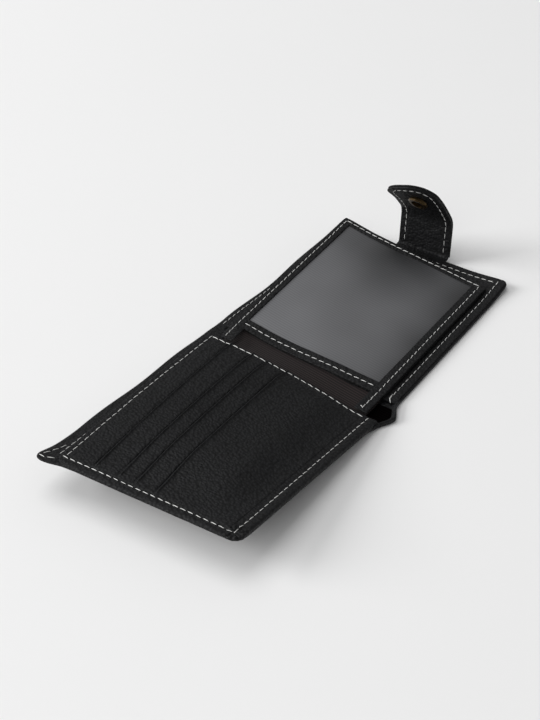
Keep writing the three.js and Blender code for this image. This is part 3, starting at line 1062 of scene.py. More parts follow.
@dataclass
class RearHalf:
    """The half that lies on the table: cover, linings, panel, slip pocket and seams."""

    lie: OpenLie
    fit: Fitter
    length: float = REAR_LENGTH
    far_row: float = 100.7
    seam_level: float = 2.35
    panel_level: float = 3.95
    panel_leather: float = 0.6
    panel_low_reach: float = 34.0
    panel_far_reach: float = 24.0
    cover_draw: float = 0.22
    cover_draw_half: float = 2.0
    sewn_rise: float = 0.75
    row_depth: float = 0.18
    swell: float = 0.12
    channel: float = 1.1
    channel_at: float = -40.2
    channel_half: float = 1.4
    channel_fade: float = 6.0
    divider_gap: float = 0.68
    lining_gap: float = 0.5
    pocket_low: float = -34.0
    pocket_high: float = 27.0
    pocket_faces: tuple[float, float] = (0.06, 0.02)
    pocket_rise: float = 0.4
    top_wave: float = 0.35
    top_draw: float = 1.2

    def sewn(self, u: Array, y: Array) -> Array:
        """1 at the sewn edges, falling to 0 inside them."""
        low = 1 - ease((y + HALF_HEIGHT) / SEWN_WIDTH)
        far = 1 - ease((self.length - u) / SEWN_WIDTH)
        return np.maximum(low, far) * ease(u / SPINE_FADE)

    def along_seams(self, u: Array, y: Array, half: float) -> Array:
        """1 along the two seams, falling to 0 beside them."""
        return np.maximum(ridge(y - SEAM_LOW, half), ridge(u - self.far_row, half))

    def cover_bottom(self, u: Array, y: Array) -> Array:
        """The cover's outer face, drawn up a little along the seams."""
        return self.cover_draw * self.along_seams(u, y, self.cover_draw_half) * ease(u / SPINE_FADE)

    def cover_top(self, u: Array, y: Array) -> Array:
        """The cover's inner face."""
        return COVER_LEATHER + np.maximum(hem_step(u, y), self.sewn_rise * self.sewn(u, y))

    def panel_top(self, u: Array, y: Array) -> Array:
        """The panel's face, pressed down to the sewn edges."""
        low = ease((y + HALF_HEIGHT) / self.panel_low_reach)
        far = ease((self.length - u) / self.panel_far_reach)
        level = self.seam_level + (self.panel_level - self.seam_level) * low * far
        row = self.row_depth * self.along_seams(u, y, ROW_HALF)
        ends = ease(u / self.channel_fade) * ease((self.far_row - 3 - u) / self.channel_fade)
        channel = self.channel * ridge(y - self.channel_at, self.channel_half) * ends
        return level - channel - row + self.swell * ripple(u, y, scale=13.0, seed=4.0)

    def divider_top(self, u: Array, y: Array) -> Array:
        """The bill compartment's inner wall."""
        return self.panel_top(u, y) - self.divider_gap

    def bill_face(self, level: float) -> Surface:
        """A face of the bill compartment's lining, kept under the divider."""
        under = BILL_FACES[0] - level + self.lining_gap
        return lambda u, y: np.minimum(level, self.divider_top(u, y) - under)

    def pocket_top(self, u: Array, y: Array) -> Array:
        """The slip pocket's face, sewn down at its bottom."""
        rise = self.pocket_rise * ease((y - self.pocket_low) / 8)
        return self.panel_top(u, y) + self.pocket_faces[0] + rise

    def drift(self, u: Array, y: Array) -> tuple[Array, Array]:
        """Shape the cover's outline: the spine's bulge and a wavy top edge."""
        wave = self.top_wave * np.sin(u / WAVE_LENGTH) - self.top_draw * ease((u + SPINE_HALF) / 14)
        return u, y + spine_bulge(u + SPINE_HALF, y) + wave * ease((y - WAVE_FROM) / WAVE_OVER)

    def build(self) -> None:
        """Model the rear half's pieces."""
        lay, fit, ride = self.lie.rear, self.fit, "rear_half"
        cover = Layer(
            "rear_cover_hide", (-SPINE_HALF, self.length), (-HALF_HEIGHT, HALF_HEIGHT), self.cover_top,
            self.cover_bottom, lay, step=1.5, rim=0.9, corner=4.0, square=("near",), drift=self.drift,
        ).make()
        reach = crease_reach(REAR_CREASE)
        fit.bend(cover, Slot.LEATHER, ("rear_half", "spine"), reach, "rear_cover", "spine_cover")

        inside = (BILL_NEAR, self.length - BILL_FAR), (-BILL_HALF, BILL_HALF)
        board = Layer("rear_board", *inside, *map(plane, BOARD_FACES), lay, step=4, rim=0.1).make()
        fit.ride(board, Slot.BOARD, ride, "rear_stiffener")
        faces = map(self.bill_face, BILL_FACES)
        lining = Layer("rear_bill_cloth", *inside, *faces, lay, step=3, rim=0.1).make()
        fit.ride(lining, Slot.LINING, ride, "rear_bill_lining")
        divider = Layer(
            "rear_divider_wall", (PANEL_NEAR, self.length - 1.2), (PANEL_LOW + 0.4, DIVIDER_HIGH - 2.4),
            self.divider_top, beneath(self.divider_top, DIVIDER_LEATHER), lay,
            step=2.5, rim=0.15, corner=3.0, square=("near",),
        ).make()
        fit.ride(divider, Slot.LEATHER, ride, "rear_divider")
        panel = Layer(
            "rear_panel_leather", (PANEL_NEAR, self.length - 0.8), (PANEL_LOW, PANEL_HIGH - 1.0),
            self.panel_top, beneath(self.panel_top, self.panel_leather), lay,
            step=1.5, rim=0.4, corner=3.2, square=("near",),
        ).make()
        fit.ride(panel, Slot.LEATHER, ride, "rear_panel")
        pocket = Layer(
            "rear_slip_pocket", (1.0, self.length - 9), (self.pocket_low, self.pocket_high),
            self.pocket_top, beneath(self.panel_top, -self.pocket_faces[1]), lay,
            step=2, rim=0.3,
        ).make()
        fit.ride(pocket, Slot.LEATHER, ride, "rear_pocket")
        self.sew()

    def sew(self) -> None:
        """Sew the rear half's rows."""
        lay = self.lie.rear
        edge = [(1.5, SEAM_LOW), (self.far_row, SEAM_LOW), (self.far_row, PANEL_ROW)]
        tack = [(5.0, SEAM_LOW + 0.3), (2.2, SEAM_LOW - 0.1), (0.3, SEAM_LOW - 1.4)]
        outside = [(4.0, SEAM_LOW), *edge[1:]]
        seam = [
            StitchRow(edge, self.panel_top, lay),
            StitchRow(tack, self.panel_top, lay, pitch=1.2, dash=2.6, proud=0.35),
            StitchRow(outside, self.cover_bottom, lay, Face.OUTSIDE, proud=SUNK),
        ]
        self.fit.sew("rear_edge_stitches", seam, "rear_half", "rear_seam_thread")
        drops = ((3, 1.4), (8, 1.7), (45, 2.1), (self.length - 5, 3.2))
        hem = [(along, HEM_ROW - drop) for along, drop in drops]
        top = [
            StitchRow(hem, self.cover_top, lay),
            StitchRow(hem, self.cover_bottom, lay, Face.OUTSIDE, proud=SUNK),
            StitchRow([(1.5, PANEL_ROW - 1), (self.far_row, PANEL_ROW - 1)], self.panel_top, lay),
        ]
        self.fit.sew("rear_hem_stitches", top, "rear_half", "rear_hem_thread")


@dataclass
class FrontHalf:
    """The raised half: cover, linings, card panel with four pockets, and seams."""

    lie: OpenLie
    fit: Fitter
    length: float = FRONT_LENGTH
    free_row: float = 101.5
    spine_row: float = 2.35
    panel_level: float = 3.95
    pocket_edges: tuple[float, ...] = (27.7, 16.4, 8.6, -1.2)
    pocket_far: float = 100.4
    pocket_low: float = -39.8
    pocket_step: float = 0.75
    pocket_low_fade: float = 20.0
    pocket_free_fade: float = 30.0
    pocket_overlap: float = 2.6
    pocket_gap: float = 0.05
    pocket_sink: float = 0.1
    pocket_leather: float = 0.55
    slot_end: float = 100.2
    slot_fade: float = 2.5
    bead: float = 0.48
    bead_at: float = 0.6
    bead_half: float = 0.42
    groove: float = 0.4
    groove_at: float = 0.45
    groove_half: float = 0.32
    pleat: float = 0.4
    pleat_turns: float = 10.0
    pleat_radius: float = 3.4
    pleat_half: float = 1.8
    row_depth: float = 0.2
    swell: float = 0.16
    wrinkle: float = 0.03
    panel_leather: float = 0.7
    panel_thick: float = 5.0
    panel_foot: float = 0.25
    free_top: float = 34.0
    free_inset: float = 0.9
    low_inset: float = 0.6
    top_wave: float = 0.4
    divider_level: float = 3.05
    divider_share: float = 0.3
    low_draw: float = 0.9
    low_draw_width: float = 14.0
    free_draw: float = 1.9
    free_draw_width: float = 13.0
    draw_limit: float = 2.0
    cover_fade: float = 10.0
    sewn_rise: float = 2.2
    hem_follow: float = 0.6
    corner_flare: float = 2.2
    mouth_drop: float = 0.5
    mouth_slope: float = 0.033
    mouth_range: tuple[float, float] = (-41.0, 37.0)
    press_level: float = 3.3
    spine_dash: float = 3.3
    hem_level: float = 42.2
    hem_turns: tuple[tuple[float, float], ...] = (
        (-17.0, 42.2), (-8.0, 43.2), (-3.0, 44.2), (0.0, 45.0),
        (1.6, 44.4), (1.8, 43.0), (1.0, 41.0), (0.3, 39.2),
    )
    on_panel: tuple[str, ...] = (
        "card_panel_top_stitches",
        "card_panel_spine_stitches",
        "front_divider_stitches",
    )

    def cover_bottom(self, u: Array, y: Array) -> Array:
        """The cover's outer face, drawn up towards the sewn edges."""
        low = self.low_draw * (1 - ease((y + HALF_HEIGHT) / self.low_draw_width))
        free = self.free_draw * (1 - ease((self.length - u) / self.free_draw_width))
        return np.minimum(np.hypot(low, free), self.draw_limit) * ease(u / self.cover_fade)

    def cover_top(self, u: Array, y: Array) -> Array:
        """The cover's inner face."""
        low = 1 - ease((y + HALF_HEIGHT) / SEWN_WIDTH)
        free = (1 - ease((self.length - u) / SEWN_WIDTH)) * (1 - ease((y - WAVE_FROM) / 6))
        sewn = self.sewn_rise * np.maximum(low, free) * ease(u / SPINE_FADE)
        hem = hem_step(u, y) + self.hem_follow * self.cover_bottom(u, y)
        return COVER_LEATHER + np.maximum(hem, sewn)

    def panel_top(self, u: Array, y: Array) -> Array:
        """The card panel's face, with the seams drawn in and pleats at its bottom free corner."""
        rows = (y - SEAM_LOW, u - self.free_row, y - CARD_ROW)
        drawn = np.max([ridge(gap, ROW_HALF) for gap in rows], axis=0)
        from_corner = np.hypot(u - self.free_row, y - SEAM_LOW)
        angle = np.arctan2(y - SEAM_LOW, u - self.free_row)
        round_corner = ridge(from_corner - self.pleat_radius, self.pleat_half)
        pleats = self.pleat * np.cos(self.pleat_turns * angle) * round_corner
        swell = self.swell * ripple(u, y, scale=15.0, seed=1.0)
        waves = swell + self.wrinkle * ripple(u, y, scale=4.5, seed=2.0)
        seams = pleats - self.row_depth * drawn - self.mouth_groove(0, u, y)
        return self.panel_level + seams + waves + self.lie.gape(u, y)

    def panel_bottom(self, u: Array, y: Array) -> Array:
        """The card panel's other face, thicker where the layers are sewn together at its edges."""
        low = 1 - ease((y - PANEL_LOW - 1) / self.panel_thick)
        free = 1 - ease((self.length - 1.8 - u) / self.panel_thick)
        free = free * (1 - ease((y - self.free_top) / self.panel_thick))
        edge = np.maximum(low, free) * ease(u / SPINE_FADE)
        thin = self.panel_top(u, y) - self.panel_leather
        return thin + (self.cover_bottom(u, y) + self.panel_foot - thin) * edge

    def slot_share(self, u: Array) -> Array:
        """1 along a pocket's mouth, falling to 0 at its free end."""
        return ease((self.slot_end - u) / self.slot_fade)

    def above_low(self, y: Array) -> Array:
        """0 at the pockets' bottom seam, rising to 1."""
        return ease((y - self.pocket_low) / self.pocket_low_fade)

    def pocket_rise(self, index: int, u: Array, y: Array) -> Array:
        """How far a pocket's face stands above the card panel."""
        free = ease((self.pocket_far - u) / self.pocket_free_fade)
        low = self.above_low(y)
        spine = 0.45 + 0.55 * ease(u / 12)
        end = ease((self.pocket_far + 0.6 - u) / self.slot_fade)
        return (index + 1) * self.pocket_step * (0.05 + 0.95 * free * low) * spine * end

    def mouth_groove(self, index: int, u: Array, y: Array) -> Array:
        """How deep the face below a pocket is pressed in along that pocket's mouth."""
        if index >= len(self.pocket_edges):
            return 0 * u
        gap = y - self.pocket_edges[index] - self.groove_at
        return self.groove * ridge(gap, self.groove_half) * self.slot_share(u)

    def row_face(self, u: Array, y: Array) -> Array:
        """The face under the row of stitches at the spine, smooth over the pockets' mouths."""
        steps = sum(ease((mouth + 2 - y) / 5) for mouth in self.pocket_edges)
        return self.panel_top(u, y) + 0.1 + 0.5 * self.pocket_step * steps * self.above_low(y)

    def pocket_top(self, index: int) -> Surface:
        """A pocket's face, with the rolled bead along its mouth."""
        mouth = self.pocket_edges[index]

        def face(u: Array, y: Array) -> Array:
            """The face's level."""
            bead = self.bead * ridge(mouth - y - self.bead_at, self.bead_half) * self.slot_share(u)
            level = self.panel_top(u, y) + self.pocket_gap + self.pocket_rise(index, u, y)
            return level + bead - self.mouth_groove(index + 1, u, y)

        return face

    def pocket_bottom(self, face: Surface) -> Surface:
        """A pocket's back, stopped by the card panel's face."""
        back = beneath(face, self.pocket_leather)
        stop = beneath(self.panel_top, self.pocket_sink)
        return lambda u, y: np.maximum(back(u, y), stop(u, y))

    def slot_lines(self, index: int) -> tuple[float, ...]:
        """Closer grid lines for a pocket's bead and for the groove at the next mouth."""
        lines = [self.pocket_edges[index] - gap for gap in SLOT_LINES]
        for mouth in self.pocket_edges[index + 1:index + 2]:
            lines += [mouth + gap for gap in GROOVE_LINES]
        return tuple(lines)

    def divider_top(self, u: Array, y: Array) -> Array:
        """The bill compartment's inner wall."""
        return self.divider_level + self.divider_share * self.lie.gape(u, y)

    def over_cover(self, level: float) -> Surface:
        """A face at one level over the cover's outer face."""
        return lambda u, y: np.maximum(self.cover_bottom(u, y), 0) + level

    def drift(self, u: Array, y: Array) -> tuple[Array, Array]:
        """Shape the cover's outline: the spine's bulge, a wavy top edge and a flared top corner."""
        corner = self.corner_flare * self.lie.corner_share(u, y)
        wave = self.top_wave * np.sin(u / WAVE_LENGTH) * ease((y - WAVE_FROM) / WAVE_OVER)
        inset = self.free_inset * ease((u - 90) / 10) * (1 - ease((y - self.free_top) / 7))
        raised = self.low_inset * (1 - ease((y + HALF_HEIGHT) / 6)) * ease(u / self.cover_fade)
        return u + corner - inset, y + corner + wave + raised + spine_bulge(u + SPINE_HALF, y)

    def flared(self, u: Array, y: Array, level: Array) -> Array:
        """Lay places of the front half as its cover is shaped."""
        return self.lie.front(*self.drift(u, y), level)

    def slant(self, u: Array, y: Array) -> tuple[Array, Array]:
        """Let the pockets' mouths run down a little towards the free end."""
        low, high = self.mouth_range
        share = ease((y - low) / 25) * ease((high - y) / 8)
        return u, y - (self.mouth_drop + self.mouth_slope * u) * share

    def press(self, piece: bpy.types.Object) -> None:
        """Give a gaping piece its own mesh, through the fitter's flatten, with the axis and anchor that it would
        be pressed about.
        """
        tilt = math.radians(FRONT_TILT)
        axis = (math.sin(tilt), 0.0, math.cos(tilt))
        rise = self.press_level - CREASE_LEVEL
        self.fit.flatten(piece, axis, (FRONT_CREASE + rise * axis[0], 0.0, CREASE_LEVEL + rise * axis[2]))

    def build(self) -> None:
        """Model the front half's pieces."""
        lay, fit, ride = self.lie.front, self.fit, "front_half"
        cover = Layer(
            "front_cover_hide", (-SPINE_HALF, self.length), (-HALF_HEIGHT, HALF_HEIGHT), self.cover_top,
            self.cover_bottom, lay, step=1.5, rim=0.9, corner=5.0, square=("near",), drift=self.drift,
        ).make()
        reach = crease_reach(FRONT_CREASE)
        fit.bend(cover, Slot.LEATHER, ("spine", "front_half"), reach, "front_cover")

        inside = (BILL_NEAR, self.length - BILL_FAR), (-BILL_HALF, BILL_HALF)
        faces = map(self.over_cover, BOARD_FACES)
        board = Layer("front_board", *inside, *faces, lay, step=4, rim=0.1).make()
        fit.ride(board, Slot.BOARD, ride, "front_stiffener")
        faces = map(self.over_cover, BILL_FACES)
        lining = Layer("front_bill_cloth", *inside, *faces, lay, step=3, rim=0.1).make()
        fit.ride(lining, Slot.LINING, ride, "front_bill_lining")
        divider = Layer(
            "front_divider_wall", (PANEL_NEAR, self.length - 1.2), (PANEL_LOW + 0.4, DIVIDER_HIGH - 2),
            self.divider_top, beneath(self.divider_top, DIVIDER_LEATHER), lay,
            step=2.0, rim=0.15, corner=8.0, square=("near",),
        ).make()
        self.press(fit.ride(divider, Slot.LEATHER, ride, "front_divider"))
        panel = Layer(
            "card_panel_leather", (PANEL_NEAR, self.length - 0.2), (PANEL_LOW - 0.5, CARD_HIGH),
            self.panel_top, self.panel_bottom, lay, step=1.2, rim=0.9, corner=4.2, square=("near",),
            drift=self.slant, along=tuple(np.arange(94, 104, 0.5)),
            across=(*np.arange(-45.0, -35, 0.5), *(self.pocket_edges[0] + gap for gap in GROOVE_LINES)),
        ).make()
        self.press(fit.ride(panel, Slot.LEATHER, ride, "front_panel"))
        for index, mouth in enumerate(self.pocket_edges):
            last = index == len(self.pocket_edges) - 1
            low = self.pocket_low if last else self.pocket_edges[index + 1] - self.pocket_overlap
            face = self.pocket_top(index)
            pocket = Layer(
                f"card_pocket_leather_{index + 1}", (1.0, self.pocket_far), (low, mouth), face,
                self.pocket_bottom(face), lay, step=1.0, rim=0.4, across=self.slot_lines(index),
                drift=self.slant,
            ).make()
            self.press(fit.ride(pocket, Slot.LEATHER, ride, f"card_pocket_{index + 1}"))
        self.sew()

    def sew(self) -> None:
        """Sew the front half's rows."""
        lay = self.lie.front
        edge = [(0.8, SEAM_LOW), (self.free_row, SEAM_LOW), (self.free_row, CARD_HIGH - 0.6)]
        outside = [(4.0, SEAM_LOW), *edge[1:]]
        top = [(1.0, CARD_ROW), (self.free_row - 1, CARD_ROW)]
        spine = [(self.spine_row, CARD_ROW - 0.5), (self.spine_row, SEAM_LOW + 2)]
        wall = [(1.5, DIVIDER_ROW), (self.length - 5, DIVIDER_ROW)]
        hem = [(4.0, self.hem_level), *((self.free_row + along, at) for along, at in self.hem_turns)]
        rows = {
            "front_edge_stitches": (
                "front_seam_thread",
                StitchRow(edge, self.panel_top, lay),
                StitchRow(outside, self.cover_bottom, lay, Face.OUTSIDE),
            ),
            "card_panel_top_stitches": ("front_panel_thread", StitchRow(top, self.panel_top, lay)),
            "card_panel_spine_stitches": (
                "card_panel_thread",
                StitchRow(spine, self.row_face, lay, dash=self.spine_dash),
            ),
            "front_divider_stitches": ("front_divider_thread", StitchRow(wall, self.divider_top, lay)),
            "front_hem_stitches": (
                "front_hem_thread",
                StitchRow(hem, self.cover_top, self.flared),
                StitchRow(hem, self.cover_bottom, self.flared, Face.OUTSIDE),
            ),
        }
        for name, (node, *sewn) in rows.items():
            piece = self.fit.sew(name, sewn, "front_half", node)
            if name in self.on_panel:
                self.press(piece)


@dataclass
class WindowFlap:
    """The page-like flap: back, lining, film, leather border, mouth strip and seams."""

    fit: Fitter
    hinge: float = field(default_factory=lambda: joint_place("flap_hinge")[0])
    near: float = 0.4
    far: float = 97.0
    low: float = -40.5
    high: float = 37.5
    border: float = 6.0
    strip: float = 6.3
    row_inset: float = 3.0
    edge_inset: float = 1.8
    inside: float = 1.5
    slope: float = 0.03
    near_draw: float = 1.5
    draw_from: float = 12.0
    draw_over: float = 24.0
    near_fade: float = 20.0
    swell: float = 0.12
    corner: float = 1.4
    window_rise: float = 1.6
    strip_lap: float = 0.6
    back_faces: tuple[float, float] = (0.5, 0.0)
    lining_faces: tuple[float, float] = (0.75, 0.55)
    film_faces: tuple[float, float] = (0.9, 0.8)
    film_bulge: float = 0.06
    border_faces: tuple[float, float] = (1.55, 1.0)
    strip_faces: tuple[float, float] = (1.5, 0.98)
    seam_depth: float = 0.15
    strip_row: float = 3.3
    strip_row_level: float = 1.38
    knots: tuple[float, ...] = (-40.5, -30.0, -15.0, 5.0, 22.0, 37.5)
    near_levels: tuple[float, ...] = (2.7, 3.45, 4.4, 5.2, 6.3, 7.9)
    far_levels: tuple[float, ...] = (2.4, 3.2, 4.7, 6.3, 8.2, 10.9)

    def base(self, s: Array, y: Array) -> Array:
        """The level of the flap's underside, low at its bottom edge and high at its top far corner."""
        share = s / self.far
        near = np.interp(y, self.knots, self.near_levels)
        far = np.interp(y, self.knots, self.far_levels)
        return near + (far - near) * share + self.swell * ripple(s, y, scale=22.0, seed=6.0)

    def lay(self, s: Array, y: Array, level: Array) -> Array:
        """Lay places of the flap, s from its hinge line. Its far edge runs in towards the bottom."""
        z = self.base(s, y) + level
        x = self.hinge + s * (1 - self.slope * (self.high - y) / (self.high - self.low))
        x = x + self.drawn(y) * np.clip(1 - s / self.near_fade, 0, 1)
        return np.stack([x, np.broadcast_to(y, z.shape), z], axis=-1)

    def drawn(self, y: Array) -> Array:
        """How far the flap's near edge is drawn in from the spine towards its top."""
        return self.near_draw * ease((y - self.draw_from) / self.draw_over)

    def border_top(self, s: Array, y: Array) -> Array:
        """The border's face, drawn in along the seam."""
        gaps = (
            y - self.low - self.row_inset,
            self.far - self.edge_inset - s,
            self.high - self.edge_inset - y,
        )
        drawn = np.max([ridge(gap, ROW_HALF) for gap in gaps], axis=0)
        return self.border_faces[0] - self.seam_depth * drawn

    def strip_top(self, s: Array, y: Array) -> Array:
        """The mouth strip's face, drawn in along its seam."""
        return self.strip_faces[0] - self.seam_depth * ridge(s - self.strip_row, ROW_HALF)

    def film_face(self, level: float) -> Surface:
        """A face of the film, which bulges a little."""
        size = self.film_bulge
        return lambda s, y: level + (size + size * ripple(s, y, scale=30.0, seed=9.0))

    def build(self) -> None:
        """Model the flap's pieces."""
        fit, ride = self.fit, "id_flap"
        whole = (self.near, self.far), (self.low, self.high)
        faces = map(plane, self.back_faces)
        back = Layer(
            "flap_back_leather", *whole, *faces, self.lay, step=1.8, rim=0.25, corner=self.corner
        ).make()
        fit.ride(back, Slot.LEATHER, ride, "flap_back")
        far, across = self.far - self.inside, (self.low + self.inside, self.high - self.inside)
        lining = Layer(
            "flap_lining_cloth", (self.near + 0.2, far), across, *map(plane, self.lining_faces), self.lay,
            step=2, rim=0.1,
        ).make()
        fit.ride(lining, Slot.LINING, ride, "flap_lining")
        film = Layer(
            "window_film_sheet", (self.near + self.inside, far), across,
            *map(self.film_face, self.film_faces), self.lay, step=2, rim=0.06,
        ).make()
        fit.ride(film, Slot.FILM, ride, "window_film")
        low, high = self.low + self.border, self.high - self.border + self.window_rise
        border = Layer(
            "flap_border_leather", *whole, self.border_top, plane(self.border_faces[1]), self.lay,
            step=1.5, rim=0.4, corner=self.corner, square=("near",),
            window=(self.near - 1, self.far - self.border + 2, low, high),
        ).make()
        fit.ride(border, Slot.LEATHER, ride, "flap_border")
        strip = Layer(
            "window_strip_leather", (self.near - self.strip_lap, self.near + self.strip),
            (low - self.strip_lap, high + self.strip_lap), self.strip_top, plane(self.strip_faces[1]),
            self.lay, step=1.2, rim=0.4,
        ).make()
        fit.ride(strip, Slot.LEATHER, ride, "window_strip")
        self.sew(low, high)

    def sew(self, window_low: float, window_high: float) -> None:
        """Sew the flap's rows.

        Args:
            window_low: The window's bottom edge.
            window_high: Its top edge.
        """
        low, high = self.low + self.row_inset, self.high - self.edge_inset
        far = self.far - self.edge_inset
        edge = [(1.0, low), (far, low), (far, high), (1.0, high)]
        border = [
            StitchRow(edge, self.border_top, self.lay, dash=FLAP_DASH),
            StitchRow(edge, plane(0.0), self.lay, Face.OUTSIDE, proud=0.0),
        ]
        self.fit.sew("flap_border_stitches", border, "id_flap", "flap_thread")
        row = [(self.strip_row, window_low + 0.3), (self.strip_row, window_high + 0.4)]
        strip = [StitchRow(row, plane(self.strip_row_level), self.lay)]
        self.fit.sew("window_strip_stitches", strip, "id_flap", "window_strip_thread")


@dataclass
class Gutter:
    """The ribbed lining between the flap and the card panel, with the flap's leather ends sewn over it."""

    lie: OpenLie
    flap: WindowFlap
    card: FrontHalf
    fit: Fitter
    start: float = -48.6
    end: float = -71.0
    sag: float = 1.1
    flap_gap: float = 0.12
    card_gap: float = 0.8
    low_margin: float = 0.5
    high_margin: float = 3.5
    cloth: float = 0.2
    ends_at: float = -66.0
    end_leather: float = 0.6
    end_rise: float = 0.45
    top_turn: float = -4.0
    hollow_inset: float = 2.1
    hollow_low: float = -45.6
    hollow_high: float = 37.6
    hollow_level: float = COVER_LEATHER + 0.22
    hollow_cloth: float = 0.18

    def level(self, x: Array, y: Array) -> Array:
        """The lining's level, from under the flap's root to under the card panel's edge."""
        share = np.clip((self.start - x) / (self.start - self.end), 0, 1)
        rear = self.flap.base(0 * x, y) - self.flap_gap
        front = self.card_level(x, y) - self.card_gap
        return rear + (front - rear) * share - self.sag * np.sin(math.pi * share)

    def card_level(self, x: Array, y: Array) -> Array:
        """The level of the card panel's face at its spine edge."""
        return self.card.panel_top(0 * x, y) + self.lie.lift(0 * x + FRONT_CREASE, y)

    def lay(self, x: Array, y: Array, level: Array) -> Array:
        """Lay places above the lining."""
        z = self.level(x, y) + level
        return np.stack([x, np.broadcast_to(y, z.shape), z], axis=-1)

    def build(self) -> None:
        """Model the lining's two sheets and the leather ends."""
        height = (self.flap.low + self.low_margin, self.flap.high - self.high_margin)
        for name, along, bodies, crease, joined in (
            ("rear", (MID_SPINE, self.start), ("rear_half", "spine"), REAR_CREASE, "near"),
            ("front", (self.end, MID_SPINE), ("spine", "front_half"), FRONT_CREASE, "far"),
        ):
            piece = Layer(
                f"gutter_cloth_{name}", along, height, plane(0.0), plane(-self.cloth), self.lay,
                step=0.8, rim=0.1, square=(joined,),
            ).make()
            self.fit.bend(piece, Slot.LINING, bodies, crease_reach(crease))
            wide = along[1] - along[0]
            abs(wide) * MM
        self.hollow()
        self.ends(crease_reach(REAR_CREASE))

    def follow_bulge(self, x: Array, y: Array) -> tuple[Array, Array]:
        """Let the hollow's lining follow the spine's bulge."""
        return x, y + spine_bulge(x - MID_SPINE, y)

    def hollow(self) -> None:
        """Line the spine's hollow with cloth, finished nearly black as painted shade for the deep hollow."""
        along = (FRONT_CREASE + self.hollow_inset, REAR_CREASE - self.hollow_inset)
        cloth = Layer(
            "spine_hollow_shade_cloth", along, (self.hollow_low, self.hollow_high), plane(self.hollow_level),
            plane(self.hollow_level - self.hollow_cloth), self.lie.unrolled,
            step=1.2, rim=0.06, drift=self.follow_bulge,
        ).make()
        self.fit.ride(cloth, Slot.LINING, "spine", "spine_lining")
        # Its nearly black finish is painted shade for the deep hollow.
        cloth.data.materials[0] = self.fit.wardrobe.painted_shade_lining
        wide = REAR_CREASE - FRONT_CREASE - 2 * self.hollow_inset
        wide * MM

    def end_share(self, x: Array) -> Array:
        """0 at the flap's hinge line, rising to 1 at the leather ends' tips."""
        return np.clip((self.flap.hinge - x) / (self.flap.hinge - self.ends_at), 0, 1)

    def end_top(self, x: Array, y: Array) -> Array:
        """The leather ends' face, straight from the flap's border to the card panel's edge."""
        border = self.flap.base(0 * x, y) + self.flap.border_top(0 * x, y)
        return border + (self.card_level(x, y) + self.end_rise - border) * self.end_share(x)

    def turned(self, turn: float) -> Lay:
        """A lay that turns a leather end aside towards its tip."""

        def lay(x: Array, y: Array, z: Array) -> Array:
            """Lay places at their own level."""
            share = self.end_share(x)
            return np.stack([x + self.flap.drawn(y) * (1 - share), y + turn * share, z], axis=-1)

        return lay

    def ends(self, reach: Reach) -> None:
        """Model the leather ends and sew them."""
        flap, bodies, rows = self.flap, ("rear_half", "spine"), []
        for name, low, row_y, turn in (
            ("bottom", flap.low, flap.low + flap.row_inset, 0.0),
            ("top", flap.high - flap.border, flap.high - flap.edge_inset, self.top_turn),
        ):
            place = self.turned(turn)
            strip = Layer(
                f"gutter_end_{name}", (self.ends_at, flap.hinge + flap.near + 0.15),
                (low, low + flap.border), self.end_top, beneath(self.end_top, self.end_leather), place,
                step=0.8, rim=0.4, square=("far",),
            ).make()
            self.fit.bend(strip, Slot.LEATHER, bodies, reach)
            tip = self.ends_at + 1.6
            row = [(flap.hinge + 0.6, row_y), (tip, row_y)]
            rows.append(StitchRow(row, self.end_top, place, dash=FLAP_DASH))
            if not turn:
                tack = [(tip + 0.1, row_y - 0.2), (tip + 1.0, row_y + 1.3)]
                rows.append(StitchRow(tack, self.end_top, place, dash=1.8, proud=0.3))
        stitches = self.fit.needle.sew("gutter_stitches", rows)
        self.fit.bend(stitches, Slot.THREAD, bodies, reach)


